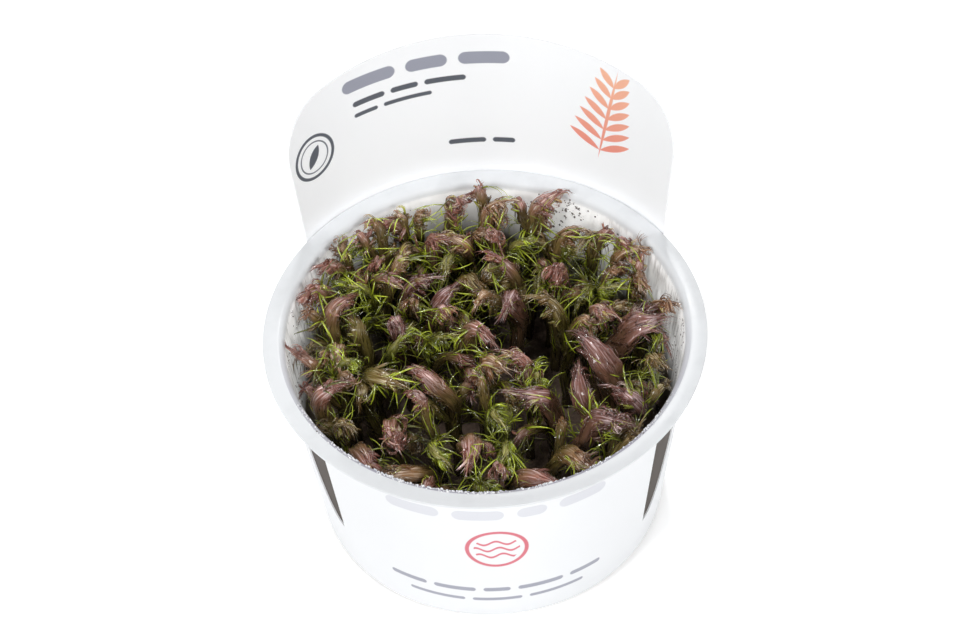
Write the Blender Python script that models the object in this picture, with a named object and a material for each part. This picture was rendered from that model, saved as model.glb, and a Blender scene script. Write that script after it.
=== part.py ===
# Rotala shoots grown in a clear tissue-culture cup, with the white sleeve that wraps the cup.
# The sleeve rises behind the cup as a header. Lengths are in metres, +Z is up, the front faces -Y,
# and the origin is the centre of the cup's flat base.
import math

import bmesh
import bpy
import numpy as np
from mathutils import Vector

MM = 0.001
GAP = 0.35 * MM  # left between pieces that touch
WELD = 0.002 * MM

# Cup
RIM_RADIUS = 50 * MM
CUP_HEIGHT = 55 * MM
MOUTH_RADIUS = 45.2 * MM  # inner radius at the rim
BASE_RADIUS = 40.6 * MM  # outer radius at the base
WALL = 1.0 * MM
FLOOR = 1.0 * MM
RIM_THICKNESS = 0.75 * MM
LIP_ROUND = 0.3 * MM
BASE_ROUND = 1.2 * MM
CUP_SEGMENTS = 48

# Sleeve
SLEEVE_THICKNESS = 0.5 * MM
SLEEVE_GAP = 0.4 * MM  # between the cup's wall and the sleeve
SLEEVE_BOTTOM = 1.6 * MM
SLEEVE_TOP = 53.8 * MM  # under the rim
HEADER_RISE = 39.4 * MM  # above the rim
HEADER_CROWN = 5.6 * MM  # how much lower the header's top edge is at its ends
HEADER_CORNER = 11.2 * MM
BEND_START = 44 * MM  # where the sleeve starts to bend out round the rim
BEND_END = 53.5 * MM
BEND_STEPS = 3
FLARE_SPAN = 15.0  # degrees over which the bend fades out beside the header
COLUMN_STEP = 7.5  # degrees
CORNER_STEPS = 5
EDGE_STEP = 0.15  # degrees between the two columns of an upright edge
# The sleeve isn't quite the same on both sides. For each side: where the window's straight edge is
# and how far the window spans, in degrees from the front; its depth; the header's end, in degrees
# from the back
RIGHT_SIDE = (53.0, 13.5, 38 * MM, 58.0)
LEFT_SIDE = (52.3, 10.5, 35 * MM, 52.9)

# Growing gel
GEL_TOP = 13 * MM
GEL_CLIMB = 0.8 * MM  # how far the gel climbs the wall
GEL_SEGMENTS = 40

# Shoots, each as where it bends over (x, y), where its tip lies (x, y), how far its tip is above
# the rim, and how stout its leafy part is; in millimetres, apart from the last, which is a share
SHOOTS = (
    # back
    (-15, 39, -23, 35, 2, 1.0), (-12, 37, -10, 31, 0, 0.9), (-9, 40, -3, 41, 2, 0.9),
    (0, 40, 6, 37, 4, 1.1), (-3, 36, -8, 32, -1, 1.0), (13, 39, 19, 39, 3, 1.2),
    (19, 35, 23, 30, 0, 1.0), (9, 35, 11, 30, -2, 0.8), (-24, 32, -30, 29, -1, 0.9),
    # left and right of the back
    (-33, 27, -37, 21, 1, 1.0), (-36, 18, -41, 15, 0, 0.9), (-37, 11, -31, 15, -2, 0.9),
    (29, 31, 25, 27, 1, 0.9), (33, 28, 37, 22, 1, 1.1), (38, 19, 37, 13, 1, 1.1),
    (40, 11, 42, 6, 0, 0.9), (9, 28, 4, 25, -2, 1.0), (20, 26, 18, 20, -2, 1.1),
    (-20, 23, -13, 21, -3, 1.0), (-22, 14, -20, 8, -6, 1.0), (-13, 17, -7, 18, -4, 0.9),
    (-7, 26, -1, 18, -4, 1.0), (-27, 22, -32, 21, -2, 0.8), (-30, 8, -34, 12, -3, 0.9),
    (-37, 3, -34, -4, -2, 0.9), (-26, 5, -19, 8, -6, 0.8), (-15, 8, -9, 6, -6, 0.8),
    (-6, 9, 0, 3, -4, 1.1), (9, 19, 5, 11, -3, 1.0), (22, 12, 13, 13, -4, 1.0),
    (28, 11, 30, 4, -3, 1.0), (30, 1, 39, 4, -1, 1.4), (28, 20, 32, 16, -4, 0.8),
    (37, -2, 39, -9, -2, 0.9),
    # middle and front
    (-1, -1, 3, -7, -3, 1.1), (11, -6, 6, -3, -4, 0.9), (31, -12, 22, -2, -1, 1.4),
    (27, -19, 20, -11, -3, 1.1), (35, -18, 29, -17, -2, 1.2), (17, -15, 7, -15, -3, 1.1),
    (-38, -6, -43, -2, 1, 1.0), (-41, -12, -34, -12, -1, 1.0), (-31, -3, -21, -11, -2, 1.1),
    (-37, -19, -32, -23, -3, 0.9), (-9, -10, -15, -8, -3, 1.1), (-6, -38, 0, -41, -4, 0.9),
    (-34, -25, -27, -33, -3, 1.1), (-24, -19, -21, -26, -3, 1.1), (-14, -32, -22, -36, -4, 1.0),
    (-13, -23, -11, -32, -4, 0.9), (-6, -25, -5, -34, -2, 1.1), (4, -26, 3, -34, -3, 1.0),
    (3, -36, 12, -40, -3, 1.0), (15, -30, 21, -36, -3, 1.0), (23, -24, 29, -28, -2, 1.1),
    (0, -14, 2, -20, -5, 0.8), (27, -33, 33, -28, -4, 0.9),
)
SLENDER = 0.95  # shoots less stout than this are green, the others rose
BASE_SHARE = 0.84  # the feet stand this much closer to the middle than the bends
ARCH = 7.0 * MM  # height of the bend's handle above the tip
LEAN_BACK = 0.35  # how far the bend's handle stands back from the tip, as a share of the bend's reach
TIP_DROP = 2.0 * MM
LEAN_OUT = 0.4  # how far a shoot may lean out over the rim, as a share of its height above it
SAMPLES = 16  # points along a shoot's line
RINGS = (0, 3, 6, 8, 10, 12, 14, 15)  # the points that carry a ring of the mesh
SHOOT_SIDES = 6
# Share of the shoot's length, and its radius there
SHOOT_OUTLINE = (
    (0.00, 1.6 * MM),
    (0.25, 2.1 * MM),
    (0.45, 2.9 * MM),
    (0.60, 3.6 * MM),
    (0.80, 3.9 * MM),
    (0.92, 2.9 * MM),
    (1.00, 0.9 * MM),
)
SPREAD_ROUNDS = 120
LOCK_SPANS = (2, 3, 4, 5)  # spans between rings that carry locks of leaves
LOCKS_PER_SPAN = 3
LOCK_LENGTHS = (5.5 * MM, 4.0 * MM, 2.8 * MM, 1.8 * MM)  # the longest that is free is used
LOCK_SPREAD = 0.35  # how far a lock leans away from the shoot, as a share of its length
LOCK_REACH = 0.8 * MM  # half the width kept free round a lock

CLEAR_PLASTIC = (0.90, 0.92, 0.94)
WHITE_CARD = (0.86, 0.88, 0.90)
PALE_GEL = (0.55, 0.52, 0.44)
LEAF_GREEN = (0.20, 0.22, 0.05)
LEAF_ROSE = (0.30, 0.13, 0.12)


def clear_scene():
    for thing in list(bpy.data.objects):
        bpy.data.objects.remove(thing)


def finish_of(name, colour, roughness):
    """A Principled BSDF material of one colour."""
    material = bpy.data.materials.new(name)
    material.use_nodes = True
    shader = material.node_tree.nodes["Principled BSDF"]
    shader.inputs["Base Color"].default_value = (*colour, 1)
    shader.inputs["Roughness"].default_value = roughness
    shader.inputs["Metallic"].default_value = 0
    return material


def object_from(shape, name, material):
    """Turns a bmesh into a named object with one material."""
    mesh = bpy.data.meshes.new(name)
    shape.to_mesh(mesh)
    shape.free()
    mesh.materials.append(material)
    piece = bpy.data.objects.new(name, mesh)
    bpy.context.scene.collection.objects.link(piece)
    return piece


def smooth(share):
    """Eases from 0 to 1, flat at both ends."""
    share = min(1.0, max(0.0, share))
    return share * share * (3 - 2 * share)


def turned(name, profile, segments, material):
    """Turns a profile of (radius, height) points, which starts and ends on the Z axis."""
    shape = bmesh.new()
    points = [shape.verts.new((radius, 0, height)) for radius, height in profile]
    edges = [shape.edges.new(pair) for pair in zip(points, points[1:])]
    bmesh.ops.spin(
        shape, geom=points + edges, cent=(0, 0, 0), axis=(0, 0, 1),
        angle=2 * math.pi, steps=segments, use_merge=True,
    )
    bmesh.ops.remove_doubles(shape, verts=shape.verts, dist=WELD)
    bmesh.ops.recalc_face_normals(shape, faces=shape.faces)
    piece = object_from(shape, name, material)
    piece.data.shade_smooth()
    piece.data.set_sharp_from_angle(angle=math.radians(30))
    return piece


def inner_radius(height):
    """Radius of the cup's inner wall at a height."""
    base = BASE_RADIUS - WALL
    return base + (MOUTH_RADIUS - base) * height / CUP_HEIGHT


def outer_radius(height):
    return inner_radius(height) + WALL


def make_cup(material):
    underside = CUP_HEIGHT - RIM_THICKNESS
    profile = [
        (0, 0),
        (BASE_RADIUS - BASE_ROUND, 0),
        (outer_radius(BASE_ROUND), BASE_ROUND),
        (outer_radius(underside), underside),
        (RIM_RADIUS, underside),
        (RIM_RADIUS, CUP_HEIGHT - LIP_ROUND),
        (RIM_RADIUS - LIP_ROUND, CUP_HEIGHT),
        (MOUTH_RADIUS + LIP_ROUND, CUP_HEIGHT),
        (MOUTH_RADIUS, CUP_HEIGHT - LIP_ROUND),
        (inner_radius(FLOOR + BASE_ROUND), FLOOR + BASE_ROUND),
        (inner_radius(FLOOR) - BASE_ROUND, FLOOR),
        (0, FLOOR),
    ]
    return turned("cup", profile, CUP_SEGMENTS, material)


def make_gel(material):
    """The clear growing gel in the bottom of the cup, which climbs the wall a little."""
    bottom = FLOOR + GAP
    edge = GEL_TOP + GEL_CLIMB
    profile = [
        (0, bottom),
        (inner_radius(bottom) - BASE_ROUND - GAP, bottom),
        (inner_radius(bottom + BASE_ROUND) - GAP, bottom + BASE_ROUND),
        (inner_radius(edge) - GAP, edge),
        (inner_radius(GEL_TOP) - 2 * MM, GEL_TOP),
        (0, GEL_TOP),
    ]
    return turned("growing_gel", profile, GEL_SEGMENTS, material)


def header_top(angle, half_angle):
    """Height of the header's top edge at an angle from the back, in degrees."""
    share = angle / half_angle
    corner_span = math.degrees(HEADER_CORNER / RIM_RADIUS)
    into_corner = max(0.0, angle - (half_angle - corner_span)) / corner_span
    drop = HEADER_CORNER * (1 - math.sqrt(max(0.0, 1 - into_corner**2)))
    return CUP_HEIGHT + HEADER_RISE - HEADER_CROWN * share**2 - drop


def sleeve_outline(side):
    """One side's upper edge from the front round to the back: (degrees from the front, height)."""
    window_start, window_span, window_depth, half_angle = side
    header_edge = 180 - half_angle
    corner_span = math.degrees(HEADER_CORNER / RIM_RADIUS)
    quarter = [math.radians(90 * step / CORNER_STEPS) for step in range(CORNER_STEPS + 1)]

    def even(start, end):
        steps = math.ceil((end - start) / COLUMN_STEP)
        return [start + (end - start) * step / steps for step in range(steps + 1)]

    outline = [(angle, SLEEVE_TOP) for angle in even(0, window_start - EDGE_STEP)]
    outline += [
        (window_start + window_span * math.sin(turn), SLEEVE_TOP - window_depth * math.cos(turn))
        for turn in quarter
    ]
    window_end = window_start + window_span
    outline += [(angle, SLEEVE_TOP) for angle in even(window_end, header_edge - EDGE_STEP)[1:]]
    corner = [header_edge + corner_span * (1 - math.cos(turn)) for turn in quarter]
    outline += [(angle, header_top(180 - angle, half_angle)) for angle in corner]
    outline += [(angle, header_top(180 - angle, half_angle)) for angle in even(corner[-1], 180)[1:]]
    return outline


def flare_at(angle, half_angle):
    """How much of the bend round the rim the sleeve has at an angle from the front, in degrees."""
    return smooth((angle - (180 - half_angle - FLARE_SPAN)) / FLARE_SPAN)


def sleeve_radius(height, flare):
    """Inner radius of the sleeve: a cone that follows the cup, pushed out past the rim."""
    cone = outer_radius(height) + SLEEVE_GAP
    past_rim = RIM_RADIUS + GAP - outer_radius(BEND_END) - SLEEVE_GAP
    return cone + past_rim * flare * smooth((height - BEND_START) / (BEND_END - BEND_START))


def make_sleeve(material):
    """A sheet of upright columns, each as high as the outline there, thickened outwards."""
    columns = [(angle, top, flare_at(angle, RIGHT_SIDE[-1])) for angle, top in sleeve_outline(RIGHT_SIDE)]
    columns += [
        (360 - angle, top, flare_at(angle, LEFT_SIDE[-1]))
        for angle, top in sleeve_outline(LEFT_SIDE)[-2:0:-1]
    ]
    bend = [BEND_START + (BEND_END - BEND_START) * step / BEND_STEPS for step in range(BEND_STEPS + 1)]
    shape = bmesh.new()
    grid = []
    for angle, top, flare in columns:
        levels = [SLEEVE_BOTTOM] + (bend if flare > 0 else []) + [top]
        levels += [top] * (BEND_STEPS + 3 - len(levels))
        around = math.radians(angle)
        row = []
        for level in levels:
            height = min(level, top)
            radius = sleeve_radius(height, flare)
            row.append(shape.verts.new((radius * math.sin(around), -radius * math.cos(around), height)))
        grid.append(row)
    for left, right in zip(grid, grid[1:] + grid[:1]):
        for level in range(len(left) - 1):
            shape.faces.new((left[level], right[level], right[level + 1], left[level + 1]))
    bmesh.ops.remove_doubles(shape, verts=shape.verts, dist=WELD)
    bmesh.ops.triangulate(shape, faces=shape.faces)
    piece = object_from(shape, "label_sleeve", material)
    thicken = piece.modifiers.new("Card", "SOLIDIFY")
    thicken.thickness = SLEEVE_THICKNESS
    thicken.offset = 1
    piece.data.shade_smooth()
    piece.data.set_sharp_from_angle(angle=math.radians(30))
    return piece


def kept_inside(point, clearance):
    """Moves a point inwards until it clears the cup's wall, or the rim where it leans out over it."""
    lean_out = LEAN_OUT * max(0.0, point.z - CUP_HEIGHT)
    limit = inner_radius(min(point.z, CUP_HEIGHT)) - clearance + lean_out
    reach = math.hypot(point.x, point.y)
    if reach <= limit:
        return point
    return Vector((point.x * limit / reach, point.y * limit / reach, point.z))


def girth(share, stoutness):
    """Radius of a shoot at a share of its length."""
    for (start, thin), (stop, thick) in zip(SHOOT_OUTLINE, SHOOT_OUTLINE[1:]):
        if share <= stop:
            leafy = 1 + (stoutness - 1) * smooth(share / 0.5)
            return leafy * (thin + (thick - thin) * (share - start) / (stop - start))
    return SHOOT_OUTLINE[-1][1]


def first_line(plan):
    """A shoot's line before it makes room for its neighbours: up from the gel, over, and down."""
    bend_x, bend_y, tip_x, tip_y, rise = (value * MM for value in plan[:5])
    foot = Vector((bend_x * BASE_SHARE, bend_y * BASE_SHARE, GEL_TOP + GAP))
    tip = Vector((tip_x, tip_y, CUP_HEIGHT + rise - TIP_DROP))
    low_handle = foot + Vector((0, 0, 0.5 * (tip.z - foot.z)))
    back_x, back_y = (bend_x - tip_x) * LEAN_BACK, (bend_y - tip_y) * LEAN_BACK
    high_handle = Vector((bend_x + back_x, bend_y + back_y, tip.z + ARCH))
    line = []
    for step in range(SAMPLES):
        share = step / (SAMPLES - 1)
        rest = 1 - share
        line.append(
            foot * rest**3 + low_handle * (3 * rest**2 * share)
            + high_handle * (3 * rest * share**2) + tip * share**3
        )
    return line


def spread_apart(lines, girths):
    """Pushes the shoots' lines away from each other and from the wall, and then trims their girths."""
    count = len(lines)
    places = np.array([[tuple(point) for point in line] for line in lines])
    sizes = np.array(girths)
    flat_sizes = sizes.reshape(-1)
    owner = np.repeat(np.arange(count), SAMPLES)
    other = owner[:, None] != owner[None, :]
    room = flat_sizes[:, None] + flat_sizes[None, :] + GAP * 1.5
    free = np.tile(np.linspace(0, 1, SAMPLES) > 0.05, count)
    for _ in range(SPREAD_ROUNDS):
        flat = places.reshape(-1, 3)
        apart = flat[:, None, :] - flat[None, :, :]
        distance = np.sqrt((apart**2).sum(axis=2)) + 1e-9
        short = np.where(other & (distance < room), room - distance, 0)
        push = (apart / distance[:, :, None] * short[:, :, None]).sum(axis=1) * 0.25
        push[~free] = 0
        places = (flat + push).reshape(count, SAMPLES, 3)
        middle = (places[:, :-2] + places[:, 2:]) / 2
        places[:, 1:-1] += (middle - places[:, 1:-1]) * 0.08
        for shoot in range(count):
            for step in range(1, SAMPLES):
                point = kept_inside(Vector(places[shoot, step]), sizes[shoot, step] + GAP * 1.5)
                places[shoot, step] = tuple(point)
    flat = places.reshape(-1, 3)
    distance = np.sqrt(((flat[:, None, :] - flat[None, :, :]) ** 2).sum(axis=2))
    fit = np.where(other, (distance - GAP * 1.5) / (flat_sizes[:, None] + flat_sizes[None, :]), 1)
    sizes = sizes * np.minimum(1, fit.min(axis=1)).reshape(count, SAMPLES)
    return [[Vector(point) for point in line] for line in places], sizes


def rings_of(line, sizes):
    """The corners of a shoot's rings, each ring square to the line and not twisted."""
    rings = []
    across = Vector((1, 0, 0))
    for step in RINGS:
        ahead = (line[min(step + 1, SAMPLES - 1)] - line[max(step - 1, 0)]).normalized()
        if step == 0:
            ahead = Vector((0, 0, 1))
        across = (across - ahead * across.dot(ahead)).normalized()
        beside = ahead.cross(across)
        ring = []
        for side in range(SHOOT_SIDES):
            turn = 2 * math.pi * side / SHOOT_SIDES
            spoke = across * math.cos(turn) + beside * math.sin(turn)
            ring.append(kept_inside(line[step] + spoke * sizes[step], 2 * GAP))
        rings.append(ring)
    return rings


def lock_tips(lines, sizes, all_rings):
    """Where each shoot's locks of leaves end: {(shoot, span, side): tip}."""
    places = np.array([[tuple(point) for point in line] for line in lines])
    reach = sizes + GAP + LOCK_REACH
    taken = []
    tips = {}
    for shoot, rings in enumerate(all_rings):
        others = np.delete(places, shoot, axis=0).reshape(-1, 3)
        others_reach = np.delete(reach, shoot, axis=0).reshape(-1)
        for span in LOCK_SPANS:
            centre = (line_at(lines, shoot, span) + line_at(lines, shoot, span + 1)) / 2
            ahead = (line_at(lines, shoot, span + 1) - line_at(lines, shoot, span)).normalized()
            for lock in range(LOCKS_PER_SPAN):
                side = (2 * lock + span) % SHOOT_SIDES
                after = (side + 1) % SHOOT_SIDES
                corners = rings[span][side], rings[span][after], rings[span + 1][side], rings[span + 1][after]
                root = sum(corners, Vector()) / 4
                away = (root - centre).normalized()
                for length in LOCK_LENGTHS:
                    tip = kept_inside(root + (ahead + away * LOCK_SPREAD) * length, 2 * GAP)
                    along = np.array([tuple(root.lerp(tip, share)) for share in (0.4, 0.7, 1.0)])
                    gaps = np.sqrt(((along[:, None, :] - others[None, :, :]) ** 2).sum(axis=2))
                    clear = (gaps > others_reach).all() and tip.z > GEL_TOP + GAP
                    if clear and taken:
                        busy = np.array([spot for owner, spot in taken if owner != shoot] or [(9, 9, 9)])
                        gaps = np.sqrt(((along[:, None, :] - busy[None, :, :]) ** 2).sum(axis=2))
                        clear = (gaps > 2 * LOCK_REACH).all()
                    if clear:
                        tips[shoot, span, side] = tip
                        taken += [(shoot, tuple(spot)) for spot in along]
                        break
    return tips


def line_at(lines, shoot, ring):
    return lines[shoot][RINGS[ring]]


def make_shoot(shoot, rings, tips, material):
    """One shoot: a bent stem clad in wet leaves, with pointed locks of leaves pulled out of its sides."""
    shape = bmesh.new()
    corners = [[shape.verts.new(corner) for corner in ring] for ring in rings]
    drawn_out = []
    for span, (lower, upper) in enumerate(zip(corners, corners[1:])):
        for side in range(SHOOT_SIDES):
            after = (side + 1) % SHOOT_SIDES
            face = shape.faces.new((lower[side], lower[after], upper[after], upper[side]))
            if (shoot, span, side) in tips:
                drawn_out.append((face, tips[shoot, span, side]))
    shape.faces.new(corners[0][::-1])
    shape.faces.new(corners[-1])
    for face, tip in drawn_out:
        bmesh.ops.poke(shape, faces=[face])["verts"][0].co = tip
    bmesh.ops.triangulate(shape, faces=shape.faces)
    bmesh.ops.recalc_face_normals(shape, faces=shape.faces)
    return object_from(shape, f"shoot_{shoot + 1:02d}", material)


def main():
    clear_scene()
    make_cup(finish_of("clear_plastic", CLEAR_PLASTIC, 0.3))
    make_sleeve(finish_of("white_card", WHITE_CARD, 0.45))
    make_gel(finish_of("growing_gel", PALE_GEL, 0.2))
    green = finish_of("leaf_green", LEAF_GREEN, 0.35)
    rose = finish_of("leaf_rose", LEAF_ROSE, 0.35)
    girths = [[girth(step / (SAMPLES - 1), plan[5]) for step in range(SAMPLES)] for plan in SHOOTS]
    lines, sizes = spread_apart([first_line(plan) for plan in SHOOTS], girths)
    all_rings = [rings_of(line, size) for line, size in zip(lines, sizes)]
    tips = lock_tips(lines, sizes, all_rings)
    for shoot, rings in enumerate(all_rings):
        make_shoot(shoot, rings, tips, green if SHOOTS[shoot][5] < SLENDER else rose)


main()
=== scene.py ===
# Rotala shoots in a clear cup with a white sleeve: the looks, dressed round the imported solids
import math

import bpy
import numpy as np
from mathutils import Matrix, Vector


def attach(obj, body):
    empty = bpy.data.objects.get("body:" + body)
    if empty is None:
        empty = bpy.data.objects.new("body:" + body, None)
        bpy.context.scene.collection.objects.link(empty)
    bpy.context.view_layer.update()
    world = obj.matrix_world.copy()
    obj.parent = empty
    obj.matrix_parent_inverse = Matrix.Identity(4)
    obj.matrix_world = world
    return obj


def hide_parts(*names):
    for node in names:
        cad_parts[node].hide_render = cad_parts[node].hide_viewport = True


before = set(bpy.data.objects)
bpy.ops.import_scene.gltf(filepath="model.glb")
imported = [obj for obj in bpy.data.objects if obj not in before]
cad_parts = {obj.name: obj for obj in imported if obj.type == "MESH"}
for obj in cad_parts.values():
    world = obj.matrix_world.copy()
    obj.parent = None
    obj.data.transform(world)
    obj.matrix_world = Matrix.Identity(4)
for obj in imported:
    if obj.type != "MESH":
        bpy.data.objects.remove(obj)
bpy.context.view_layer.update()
mm = 0.001
golden = math.pi * (3 - math.sqrt(5))
anyPhase = (0, 6.3)
black, white = (0.0, 0.0, 0.0), (1.0, 1.0, 1.0)


def ease(share):
    share = min(1.0, max(0.0, share))
    return share * share * (3 - 2 * share)


def deselectAll():
    if bpy.context.object and bpy.context.object.mode != "OBJECT":
        bpy.ops.object.mode_set(mode="OBJECT")
    bpy.ops.object.select_all(action="DESELECT")


def makeActive(piece):
    deselectAll()
    piece.select_set(True)
    bpy.context.view_layer.objects.active = piece


def startEdit(piece):
    makeActive(piece)
    bpy.ops.object.mode_set(mode="EDIT")
    bpy.ops.mesh.select_all(action="SELECT")


def endEdit():
    bpy.ops.object.mode_set(mode="OBJECT")


def applyModifiers(piece):
    makeActive(piece)
    for modifier in list(piece.modifiers):
        bpy.ops.object.modifier_apply(modifier=modifier.name)


def repeatPiece(piece, count):
    row = piece.modifiers.new("row", "ARRAY")
    row.count = count
    applyModifiers(piece)


def tidyNormals(piece, merge=0.01 * mm):
    startEdit(piece)
    bpy.ops.mesh.remove_doubles(threshold=merge)
    bpy.ops.mesh.normals_make_consistent(inside=False)
    endEdit()


def smoothShade(piece, degrees=40):
    makeActive(piece)
    bpy.ops.object.shade_smooth_by_angle(angle=math.radians(degrees))


def named(name):
    # the active piece, under its name
    piece = bpy.context.object
    piece.name = piece.data.name = name
    return piece


def joinPieces(pieces, name):
    makeActive(pieces[0])
    for piece in pieces[1:]:
        piece.select_set(True)
    bpy.ops.object.join()
    return named(name)


def pullUp(name, rings, sides):
    # a disc whose face is pulled through the rings (radius, height) one after another
    deselectAll()
    bpy.ops.mesh.primitive_circle_add(
        vertices=sides, radius=rings[0][0], fill_type="NGON", location=(0, 0, rings[0][1]))
    piece = named(name)
    bpy.ops.object.transform_apply(location=True, rotation=True, scale=True)
    startEdit(piece)
    for (radius, height), (nextRadius, nextHeight) in zip(rings, rings[1:]):
        bpy.ops.mesh.extrude_region_move(
            TRANSFORM_OT_translate={"value": (0, 0, nextHeight - height)})
        grow = nextRadius / radius
        bpy.ops.transform.resize(value=(grow, grow, 1), center_override=(0, 0, nextHeight))
    endEdit()
    tidyNormals(piece)
    return piece


def flattened(piece, scale):
    startEdit(piece)
    bpy.ops.transform.resize(value=scale, center_override=(0, 0, 0))
    endEdit()
    piece.data.shade_smooth()
    return piece


def cornersOf(piece):
    return np.array([tuple(point.co) for point in piece.data.vertices])


def setCorners(piece, spots, toneName, tones):
    # where the corners go, and the four values that the piece's material reads at each
    piece.data.vertices.foreach_set("co", spots.reshape(-1))
    tone = piece.data.attributes.new(toneName, "FLOAT_COLOR", "POINT")
    tone.data.foreach_set("color", tones.reshape(-1))
    piece.data.update()


def dressUp(piece, finish, slotName, *nodes):
    if finish:
        piece.data.materials.clear()
        piece.data.materials.append(finish)
    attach(piece, "root")
    if nodes:
        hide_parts(*nodes)


class Wire:
    # one socket of a material, so that maths on it reads as plain sums
    def __init__(self, sheet, socket):
        self.sheet, self.socket = sheet, socket

    def __add__(self, other):
        return self.sheet.maths("ADD", self, other)

    def __sub__(self, other):
        return self.sheet.maths("SUBTRACT", self, other)

    def __rsub__(self, other):
        return self.sheet.maths("SUBTRACT", other, self)

    def __mul__(self, other):
        return self.sheet.maths("MULTIPLY", self, other)

    def __truediv__(self, other):
        return self.sheet.maths("DIVIDE", self, other)

    __radd__ = __add__
    __rmul__ = __mul__

    def over(self, other):
        return self.sheet.maths("GREATER_THAN", self, other)

    def under(self, other):
        return self.sheet.maths("LESS_THAN", self, other)

    def least(self, other):
        return self.sheet.maths("MINIMUM", self, other)

    def most(self, other):
        return self.sheet.maths("MAXIMUM", self, other)

    def size(self):
        return self.sheet.maths("ABSOLUTE", self)

    def root(self):
        return self.sheet.maths("SQRT", self)

    def ramp(self, low, high):
        # 0 below low, 1 above high, straight between
        return self.sheet.add("ShaderNodeMapRange", {"clamp": True}, [self, low, high, 0.0, 1.0])


class Sheet:
    # one material's node tree
    def __init__(self, name, colour, roughness, **constants):
        self.material = bpy.data.materials.new(name)
        self.material.use_nodes = True
        self.tree = self.material.node_tree
        self.shader = self.tree.nodes["Principled BSDF"]
        self.shader.inputs["Base Color"].default_value = (*colour, 1)
        self.shader.inputs["Roughness"].default_value = roughness
        for socket, value in constants.items():
            self.shader.inputs[socket.replace("_", " ")].default_value = value

    def add(self, kind, settings, sockets, out=0):
        node = self.tree.nodes.new(kind)
        for setting, value in settings.items():
            if setting == "stops":
                self.setStops(node.color_ramp, value)
            else:
                setattr(node, setting, value)
        pairs = sockets.items() if isinstance(sockets, dict) else enumerate(sockets)
        for socket, value in pairs:
            if isinstance(value, Wire):
                self.tree.links.new(value.socket, node.inputs[socket])
            else:
                node.inputs[socket].default_value = value
        return Wire(self, node.outputs[out])

    def setStops(self, ramp, stops):
        while len(ramp.elements) < len(stops):
            ramp.elements.new(0.5)
        for element, (place, colour) in zip(ramp.elements, stops):
            element.position = place
            element.color = (*colour, 1)

    def maths(self, operation, *values):
        return self.add("ShaderNodeMath", {"operation": operation}, list(values))

    def place(self):
        return self.add("ShaderNodeTexCoord", {}, [], out=3)

    def tone(self, name):
        # the values stored at a piece's corners: the first three together, then the fourth
        node = self.add("ShaderNodeAttribute", {"attribute_name": name}, []).socket.node
        return Wire(self, node.outputs["Vector"]), Wire(self, node.outputs["Alpha"])

    def split(self, vector):
        node = self.add("ShaderNodeSeparateXYZ", {}, [vector]).socket.node
        return [Wire(self, socket) for socket in node.outputs]

    def stretch(self, vector, rates):
        return self.add("ShaderNodeVectorMath", {"operation": "MULTIPLY"}, [vector, rates])

    def noise(self, vector, scale, detail=3.0, roughness=0.5):
        return self.add("ShaderNodeTexNoise", {}, {
            "Vector": vector, "Scale": scale, "Detail": detail, "Roughness": roughness})

    def colours(self, share, stops):
        return self.add("ShaderNodeValToRGB", {"stops": stops}, [share])

    def blend(self, share, first, second, way="MIX"):
        first = (*first, 1) if isinstance(first, tuple) else first
        second = (*second, 1) if isinstance(second, tuple) else second
        return self.add(
            "ShaderNodeMix", {"data_type": "RGBA", "blend_type": way},
            {0: share, 6: first, 7: second}, out=2)

    def times(self, first, second):
        return self.blend(1.0, first, second, "MULTIPLY")

    def bump(self, height, strength, distance):
        return self.add("ShaderNodeBump", {}, {
            "Strength": strength, "Distance": distance, "Height": height})

    def feed(self, **links):
        for socket, wire in links.items():
            self.tree.links.new(wire.socket, self.shader.inputs[socket.replace("_", " ")])
        return self.material


view = {
    "lookAt": (-0.90 * mm, 0.0, 57.9 * mm), "elevation": 48.97, "distance": 526.8 * mm,
    "lens": 88.2, "sensor": 36, "roll": 3.21, "near": 0.01, "far": 20,
}


def setCamera():
    tilt = math.radians(view["elevation"])
    roll = math.radians(view["roll"])
    forward = Vector((0, math.cos(tilt), -math.sin(tilt)))
    level = Vector((1, 0, 0))
    rise = level.cross(forward)
    right = level * math.cos(roll) - rise * math.sin(roll)
    up = level * math.sin(roll) + rise * math.cos(roll)
    eye = Vector(view["lookAt"]) - forward * view["distance"]
    data = bpy.data.cameras.new("photoCamera")
    data.lens = view["lens"]
    data.sensor_width = view["sensor"]
    data.clip_start = view["near"]
    data.clip_end = view["far"]
    camera = bpy.data.objects.new("photoCamera", data)
    bpy.context.scene.collection.objects.link(camera)
    turn = Matrix((right, up, -forward)).transposed().to_4x4()
    camera.matrix_world = Matrix.Translation(eye) @ turn
    bpy.context.scene.camera = camera


# each lamp's power, place and width
light = {
    "sky": 0.22, "aim": (0, 0, 0.04), "floor": 0.97, "floorGlow": 0.34, "floorSize": 6,
    "lamps": {
        "left": (2.95, (-0.50, -0.50, 0.55), 0.24), "right": (2.7, (0.60, -0.52, 0.50), 0.24),
        "front": (1.0, (0.05, -0.95, 0.30), 0.40), "back": (1.5, (0.05, 0.50, 0.62), 0.10),
        "top": (1.6, (-0.16, -0.10, 0.86), 0.08),
    },
}


def setLights():
    scene = bpy.context.scene
    scene.view_settings.view_transform = "Standard"
    scene.view_settings.look = "None"
    world = bpy.data.worlds.new("studio")
    scene.world = world
    world.use_nodes = True
    sky = world.node_tree.nodes["Background"]
    sky.inputs[0].default_value = (1, 1, 1, 1)
    sky.inputs[1].default_value = light["sky"]
    for name, (power, place, width) in light["lamps"].items():
        data = bpy.data.lights.new(name, "AREA")
        data.energy = power
        data.size = width
        lamp = bpy.data.objects.new(name, data)
        scene.collection.objects.link(lamp)
        lamp.location = place
        aim = Vector(light["aim"]) - Vector(place)
        lamp.rotation_euler = aim.to_track_quat("-Z", "Y").to_euler()


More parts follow.
